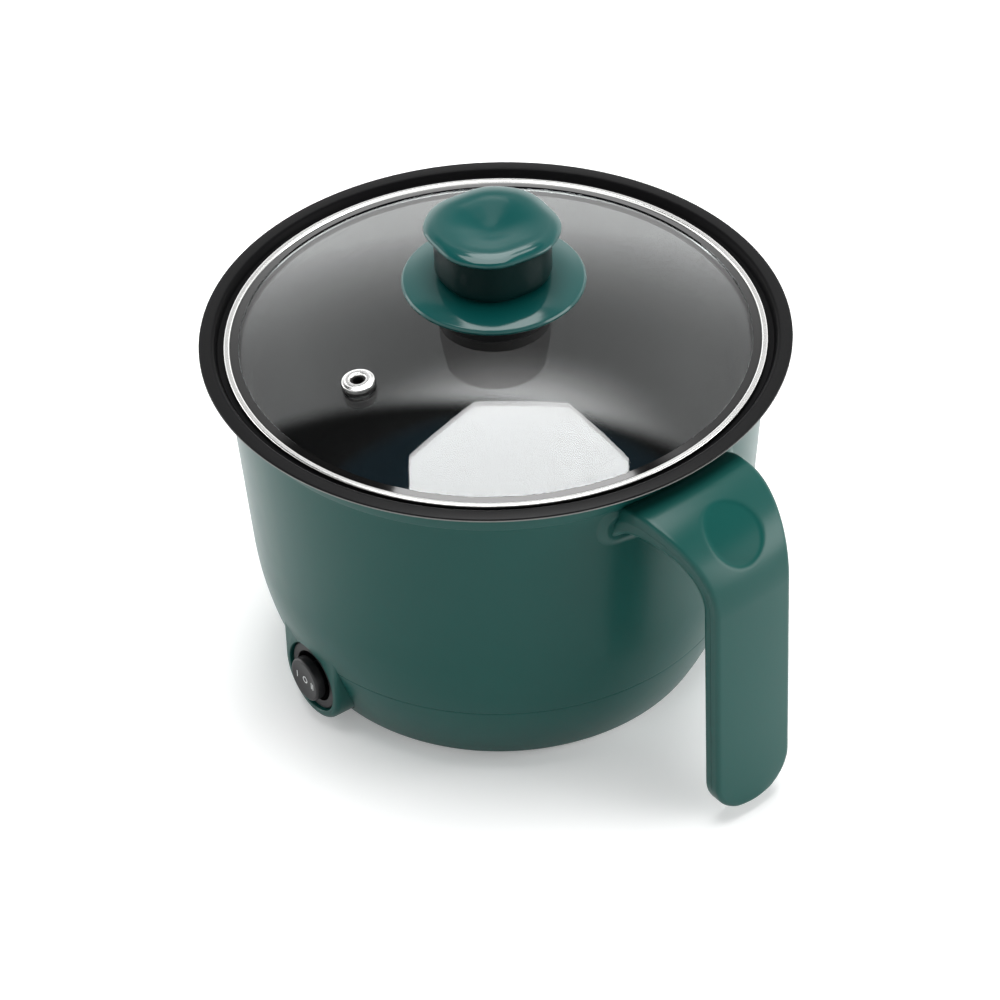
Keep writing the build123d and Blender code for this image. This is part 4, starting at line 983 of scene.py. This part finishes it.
washer_outline = rounded([
    (VENT_NECK + 0.00005, 0, 0),
    (VENT_OUTER + 0.0003, 0, 0.0002),
    (VENT_OUTER + 0.0003, WASHER, 0.0003),
    (VENT_NECK + 0.00005, WASHER, 0),
])
vent_gasket = lathe("vent_gasket_ring", washer_outline, 96, vent_place)
liner_top = WASHER + EYELET - 0.0009
liner_outline = [(VENT_BORE - LINER, -0.0038), (VENT_BORE, -0.0038)]
liner_outline += [(VENT_BORE, liner_top), (VENT_BORE - LINER, liner_top)]
carve(vent_gasket, lathe("vent_liner", liner_outline, 48, vent_place), "UNION")
dress(vent_gasket, black_rubber, "black_rubber", "lid", "vent_gasket")

# Knob foot: a black rubber gasket that follows the glass, and a black plastic collar above it that carries
# the guard. One screw from under the glass holds them.
COLLAR = 0.0186
COLLAR_TOP_RADIUS = 0.0176
KNOB_BORE = 0.00255
GASKET_TALL = 0.0037
COLLAR_TALL = 0.0117
FOOT_ROWS = 8
gasket_top = dome_height(COLLAR) + GASKET_TALL
collar_top = gasket_top + COLLAR_TALL
foot_rows = [KNOB_BORE + (COLLAR - KNOB_BORE) * k / FOOT_ROWS for k in range(FOOT_ROWS + 1)]
knob_gasket_outline = rounded([
    *[(radius, dome_height(radius) + 0.00002, 0) for radius in foot_rows],
    (COLLAR, gasket_top - 0.0001, 0.0003),
    (KNOB_BORE, gasket_top - 0.0001, 0),
])
knob_gasket = lathe("knob_gasket_ring", knob_gasket_outline, 144)
dress(knob_gasket, black_rubber, "black_rubber", "lid", "knob_gasket")
collar_outline = rounded([
    (KNOB_BORE, gasket_top, 0),
    (COLLAR, gasket_top, 0.0003),
    (COLLAR_TOP_RADIUS, collar_top, 0),
    (KNOB_BORE, collar_top, 0),
])
knob_seat = lathe("knob_seat_collar", collar_outline, 144)
dress(knob_seat, black_plastic, "black_plastic", "lid", "knob_seat")

# Knob: a glossy green finger guard and above it the grip, with a dish on top, four finger hollows and a stem
# painted
#  darker as the shade under the lip. Both are turned, and a node tree presses the hollows in. Reflected rays
#  that come from further off than MIRROR_REACH pass through both, so that the lid hardly mirrors them.
GUARD_RADIUS = 0.0304
GUARD_EDGE = 0.0024
STEM = 0.0192
STEM_ROUND = 0.0032
GUARD_SLOPE = radians(14)
guard_low = collar_top - 0.0009
guard_run = GUARD_RADIUS - 0.0009 - (STEM - STEM_ROUND)
guard_drop = guard_run * tan(GUARD_SLOPE) / 2
guard_top = guard_low + GUARD_EDGE + guard_drop
GRIP_RADIUS = 0.0224
GRIP_TOP = 0.0231
LIP_RISE = 0.0198
LIP_CROWN = 0.0062
LOBES = 4
HOLLOW_SHARE = 0.055
HOLLOW_ANGLE = radians(-9)
DISH = 0.0032
grip_top = collar_top + GRIP_TOP
lip_low = collar_top + LIP_RISE
GLOSS_GREEN = (0.001, 0.052, 0.049, 1)
# Painted shade: the stem's green is darkened to stand in for the shade under the grip's lip.
STEM_PAINTED_SHADE = (0.0003, 0.009, 0.0085, 1)
LIP_COAT = 0.52
DISH_COAT = 0.03
STEM_DULL = 0.7
MIRROR_REACH = 0.019
GUARD_ROWS = 16
STEM_ROWS = 10
DISH_ROWS = 24
GRIP_CREASE = 40
green_gloss, gloss_surface, gloss_shade = finish(
    "glossy green", GLOSS_GREEN[:3], 0.4, Specular_IOR_Level=0.06, Coat_Roughness=0.1, Coat_IOR=1.5)
gloss_reach, gloss_height = axis_distance(gloss_shade)
over_foot = gloss_height.ramp(guard_top + 0.0001, guard_top + 0.0004)
# Mask of the stem: it carries the painted shade in the base colour and a duller coat.
on_stem = over_foot * gloss_height.ramp(lip_low, lip_low - 0.0008)
on_stem.blend(GLOSS_GREEN, STEM_PAINTED_SHADE).feed(gloss_surface, "Base Color")
out_of_dish = gloss_reach.ramp(0.0115, 0.0185, DISH_COAT, LIP_COAT, "SMOOTHSTEP")
gloss_coat = out_of_dish * (1 - on_stem * STEM_DULL)
gloss_coat.feed(gloss_surface, "Coat Weight")
far_off = gloss_shade.sum_of("GREATER_THAN", ray_facts(gloss_shade, "Ray Length"), MIRROR_REACH)
mirrored = far_off * ray_facts(gloss_shade, "Is Glossy Ray")
open_to(green_gloss, gloss_surface, gloss_shade, mirrored, (1, 1, 1, 1))
guard_rows = []
for k in range(GUARD_ROWS - 1, -1, -1):
    share = k / GUARD_ROWS
    guard_rows.append((STEM - STEM_ROUND + guard_run * share, guard_top - guard_drop * share ** 2, 0))
guard_outline = rounded([
    (KNOB_BORE, collar_top, 0),
    (COLLAR, collar_top, 0.0005),
    (GUARD_RADIUS - 0.0012, guard_low, 0.0008),
    (GUARD_RADIUS, guard_low + GUARD_EDGE / 2, 0.0008),
    (GUARD_RADIUS - 0.0008, guard_low + GUARD_EDGE, 0.0009),
    *guard_rows,
    (KNOB_BORE, guard_top, 0),
], steps=10)
knob_skirt = lathe("knob_skirt_guard", guard_outline, 192)
dress(knob_skirt, green_gloss, "green_gloss", "lid", "knob_skirt")
lip_equator = lip_low + 0.0009
dish_rim = GRIP_RADIUS - LIP_CROWN
crown_turns = [pi / 2 * k / 14 for k in range(15)]
crown = [(dish_rim + LIP_CROWN * cos(turn), lip_equator + (grip_top - lip_equator) * sin(turn), 0)
         for turn in crown_turns]
dish_shares = [k / DISH_ROWS for k in range(1, DISH_ROWS + 1)]
dish = [(dish_rim * (1 - share), grip_top - DISH * (1 - cos(pi * share)) / 2, 0) for share in dish_shares]
stem_low = guard_top + STEM_ROUND
stem_rise = lip_low - 0.0016 - stem_low
stem_rows = [(STEM, stem_low + stem_rise * k / STEM_ROWS, 0) for k in range(1, STEM_ROWS)]
grip_outline = rounded([
    (KNOB_BORE, guard_top, 0),
    (STEM, guard_top, STEM_ROUND),
    *stem_rows,
    (STEM, lip_low - 0.0006, 0.0008),
    (GRIP_RADIUS - 0.0006, lip_low, 0.0006),
    *crown,
    *dish,
    (0, collar_top + 0.014, 0),
    (KNOB_BORE, collar_top + 0.0135, 0),
], steps=8)


def lobed(piece, count, share, angle, low, high):
    """Press finger hollows into a turned piece, deeper from its foot to its lip, by a node tree."""
    sizes = {"Lobes": count, "Share": share, "Angle": angle, "Low": low, "High": high}
    kinds = {"Geometry": "NodeSocketGeometry"}
    kinds |= {name: "NodeSocketFloat" for name in sizes}
    kinds["Material"] = "NodeSocketMaterial"
    start, value, keys = begin_tree("grip lobes", kinds)
    place = start.add("GeometryNodeInputPosition")
    axes = start.add("ShaderNodeSeparateXYZ", {}, {0: place}).socket.node.outputs
    across, along, height = [Shade(start.tree, axis) for axis in axes]
    bearing = start.sum_of("ARCTAN2", along, across)
    turn = (bearing - value["Angle"]) * value["Lobes"]
    wave = start.add("ShaderNodeMath", {"operation": "COSINE"}, {0: turn})
    wave = start.sum_of("POWER", wave * 0.5 + 0.5, 2.2)
    rise = height.ramp(value["Low"], value["High"], 0.7, 1.0)
    scale = 1 - wave * value["Share"] * rise
    moved = start.add("ShaderNodeCombineXYZ", {}, {0: across * scale, 1: along * scale, 2: height})
    sockets = {"Geometry": value["Geometry"], "Position": moved}
    end_tree(start, start.add("GeometryNodeSetPosition", {}, sockets), value["Material"])
    given = {name: float(size) for name, size in sizes.items()}
    given["Material"] = green_gloss
    smooth_faces(run_tree(piece, start, keys, given), GRIP_CREASE)


knob_grip = lathe("knob_grip_lobes", grip_outline, 192, crease=GRIP_CREASE)
lobed(knob_grip, LOBES, HOLLOW_SHARE, HOLLOW_ANGLE, guard_top, lip_low)
dress(knob_grip, green_gloss, "green_gloss", "lid", "knob_grip")
for piece in (knob_gasket, knob_seat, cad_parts["knob_screw"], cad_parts["knob_washer"]):
    piece.visible_glossy = False

# Inner works: the heater and its shield, the thermostat and fuse, the contacts, the screws and the gland's
# nut. They lie out of sight or under the glass, so they keep their own solids and only get a finish.
plain_steel = finish("plain steel", (0.55, 0.55, 0.54), 0.32, Metallic=1.0)[0]
plate_aluminium = finish("plate aluminium", (0.7, 0.7, 0.7), 0.4, Metallic=1.0)[0]
contact_brass = finish("contact brass", (0.7, 0.5, 0.2), 0.3, Metallic=1.0)[0]
white_insulator = finish("white insulator", (0.75, 0.74, 0.7), 0.6)[0]
works = {
    plain_steel: ("base_screws", "handle_screws", "handle_cover_screw", "heat_shield", "heating_tube",
                  "pot_studs", "thermostat_bracket", "knob_screw", "knob_washer"),
    plate_aluminium: ("heating_plate",),
    contact_brass: ("switch_terminals",),
    white_insulator: ("terminal_block", "thermal_fuse", "thermostat"),
    black_plastic: ("gland_nut",),
}
for material, nodes in works.items():
    for node in nodes:
        slots_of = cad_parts[node].data.materials
        slots_of.clear()
        slots_of.append(material)

# Table and surroundings: a white table in a white room with a dim ceiling. Paler walls at the sides and
# behind give the glossy pieces their edges, four lamps add light, and one softbox shows in the lid.
FLOOR = 3.0
floor_corners = [(-FLOOR, -FLOOR, 0), (FLOOR, -FLOOR, 0), (FLOOR, FLOOR, 0), (-FLOOR, FLOOR, 0)]
floor_mesh = bpy.data.meshes.new("table")
floor_mesh.from_pydata(floor_corners, [], [(0, 1, 2, 3)])
floor = bpy.data.objects.new("table", floor_mesh)
bpy.context.collection.objects.link(floor)
FLOOR_GLOW = 0.2
WHITE = (1, 1, 1, 1)
floor_white, floor_surface, floor_shade = finish(
    "table white", (0.95, 0.95, 0.95), 0.8, Specular_IOR_Level=0.0, Emission_Color=WHITE)


def seen(shade):
    """1 where a thing is seen straight, mirrored or through glass, and 0 where it only gives light."""
    kinds = ray_facts(shade, "Is Camera Ray", "Is Glossy Ray", "Is Transmission Ray")
    return shade.sum_of("MINIMUM", kinds, 1.0)


glow = seen(floor_shade) * FLOOR_GLOW
glow.feed(floor_surface, "Emission Strength")
floor_mesh.materials.append(floor_white)

VIEW_ANGLE = radians(51.1)
view_right = Vector((cos(VIEW_ANGLE), sin(VIEW_ANGLE), 0))
view_away = Vector((-sin(VIEW_ANGLE), cos(VIEW_ANGLE), 0))
up = Vector((0, 0, 1))
scene = bpy.context.scene
scene.view_settings.view_transform = "Standard"
world = bpy.data.worlds.new("studio")
scene.world = world
world.use_nodes = True
sky = Shade(world.node_tree)
world_light = world.node_tree.nodes["Background"]
AMBIENT = 0.42
WALLS = 0.7
LOW_GLOW = 0.75
BACK_GLOW = 0.85
BOX_GLOW = 3.6
CEILING = 0.05
SIDE_GLOW = 0.34
direction = sky.add("ShaderNodeTexCoord")


def facing(towards):
    """How far a direction of the surroundings points the given way."""
    return sky.add("ShaderNodeVectorMath", {"operation": "DOT_PRODUCT"}, {0: direction, 1: towards}, 1)


BOX_HEIGHT = radians(53)
low = facing(up).ramp(0.62, 0.376)
behind = facing(view_away).ramp(0.2, 0.7, shape="SMOOTHSTEP")
overhead = facing(up - view_right * 0.14).ramp(0.725, 0.755, shape="SMOOTHSTEP")
box_facing = facing(view_away * cos(BOX_HEIGHT) + view_right * 0.012 + up * sin(BOX_HEIGHT))
near_box = box_facing.ramp(0.972, 0.9945)
to_side = facing(view_right)
aside = (to_side * to_side).ramp(0.006, 0.045, 0.0, SIDE_GLOW)
low_walls = low * low * (LOW_GLOW + behind * BACK_GLOW)
walls = WALLS + aside + low_walls + near_box * near_box * near_box * BOX_GLOW
tone = walls * (1 - overhead) + overhead * CEILING
colour = sky.add("ShaderNodeCombineXYZ", {}, {0: tone, 1: tone, 2: tone})
colour.feed(world_light, "Color")
strength = AMBIENT + seen(sky) * (1 - AMBIENT)
strength.feed(world_light, "Strength")


def lamp(name, place, aim, size, power):
    """Soft rectangular lamp turned towards a point."""
    light = bpy.data.lights.new(name, "AREA")
    light.shape = "RECTANGLE"
    light.size, light.size_y = size
    light.energy = power
    holder = bpy.data.objects.new(name, light)
    holder.location = place
    holder.rotation_euler = (Vector(aim) - Vector(place)).to_track_quat("-Z", "Y").to_euler()
    bpy.context.collection.objects.link(holder)


lamp("overhead", view_away * 0.1 + up * 1.5, (0, 0, 0.1), (1.0, 1.0), 24)
lamp("front fill", view_away * -1.1 + view_right * -0.8 + up * 0.9, (0, 0, 0.08), (0.9, 0.9), 1)
lamp("left fill", view_right * -1.5 + view_away * 0.5 + up * 0.5, (0, 0, 0.06), (1.0, 0.8), 8)
lamp("right fill", view_right * 1.5 - view_away * 0.3 + up * 0.5, (0, 0, 0.06), (1.0, 0.8), 15)
BOX_FLATS = 0.443
BOX_BACK = 1.4
BOX_TALL = 1.28
BOX_RISE = radians(59.0)
BOX_SIDES = 8
box_out = view_away * cos(BOX_RISE) + view_right * 0.025 + up * sin(BOX_RISE)
box_corner = BOX_FLATS / 2 / cos(pi / BOX_SIDES)
box_angles = [pi / BOX_SIDES + 2 * pi / BOX_SIDES * k for k in range(BOX_SIDES)]
box_ring = [(box_corner * cos(angle), BOX_TALL * box_corner * sin(angle), 0) for angle in box_angles]
box_turn = box_out.to_track_quat("Z", "Y").to_matrix().to_4x4()
box_mesh = bpy.data.meshes.new("softbox")
box_mesh.from_pydata(box_ring, [], [tuple(range(BOX_SIDES))])
box_from = view_away * -0.06 + up * 0.128
box_mesh.transform(Matrix.Translation(box_from + box_out * BOX_BACK) @ box_turn)
softbox = bpy.data.objects.new("softbox", box_mesh)
bpy.context.collection.objects.link(softbox)
box_light = finish("softbox light", (0, 0, 0), 1.0, Emission_Color=WHITE, Emission_Strength=9.0)[0]
box_mesh.materials.append(box_light)

# Camera: the photograph's own view, from above the front, between the switch and the handle. It is a long
# lens from about 1.4 m away, turned by a small roll.
ELEVATION = radians(39.304)
ROLL = radians(1.83)
LENS = 144.0
CAMERA_BACK = 1.05126
CAMERA_UP = 0.91379
CAMERA_LEFT = 0.00025
forward = view_away * cos(ELEVATION) - up * sin(ELEVATION)
level_down = -view_away * sin(ELEVATION) - up * cos(ELEVATION)
image_right = view_right * cos(ROLL) + level_down * sin(ROLL)
image_up = view_right * sin(ROLL) - level_down * cos(ROLL)
camera = bpy.data.cameras.new("camera")
camera.lens = LENS
camera.sensor_width = 36.0
eye = bpy.data.objects.new("camera", camera)
eye.matrix_world = Matrix.Translation(
    view_away * -CAMERA_BACK - view_right * CAMERA_LEFT + up * CAMERA_UP
) @ Matrix((image_right, image_up, -forward)).transposed().to_4x4()
bpy.context.collection.objects.link(eye)
scene.camera = eye
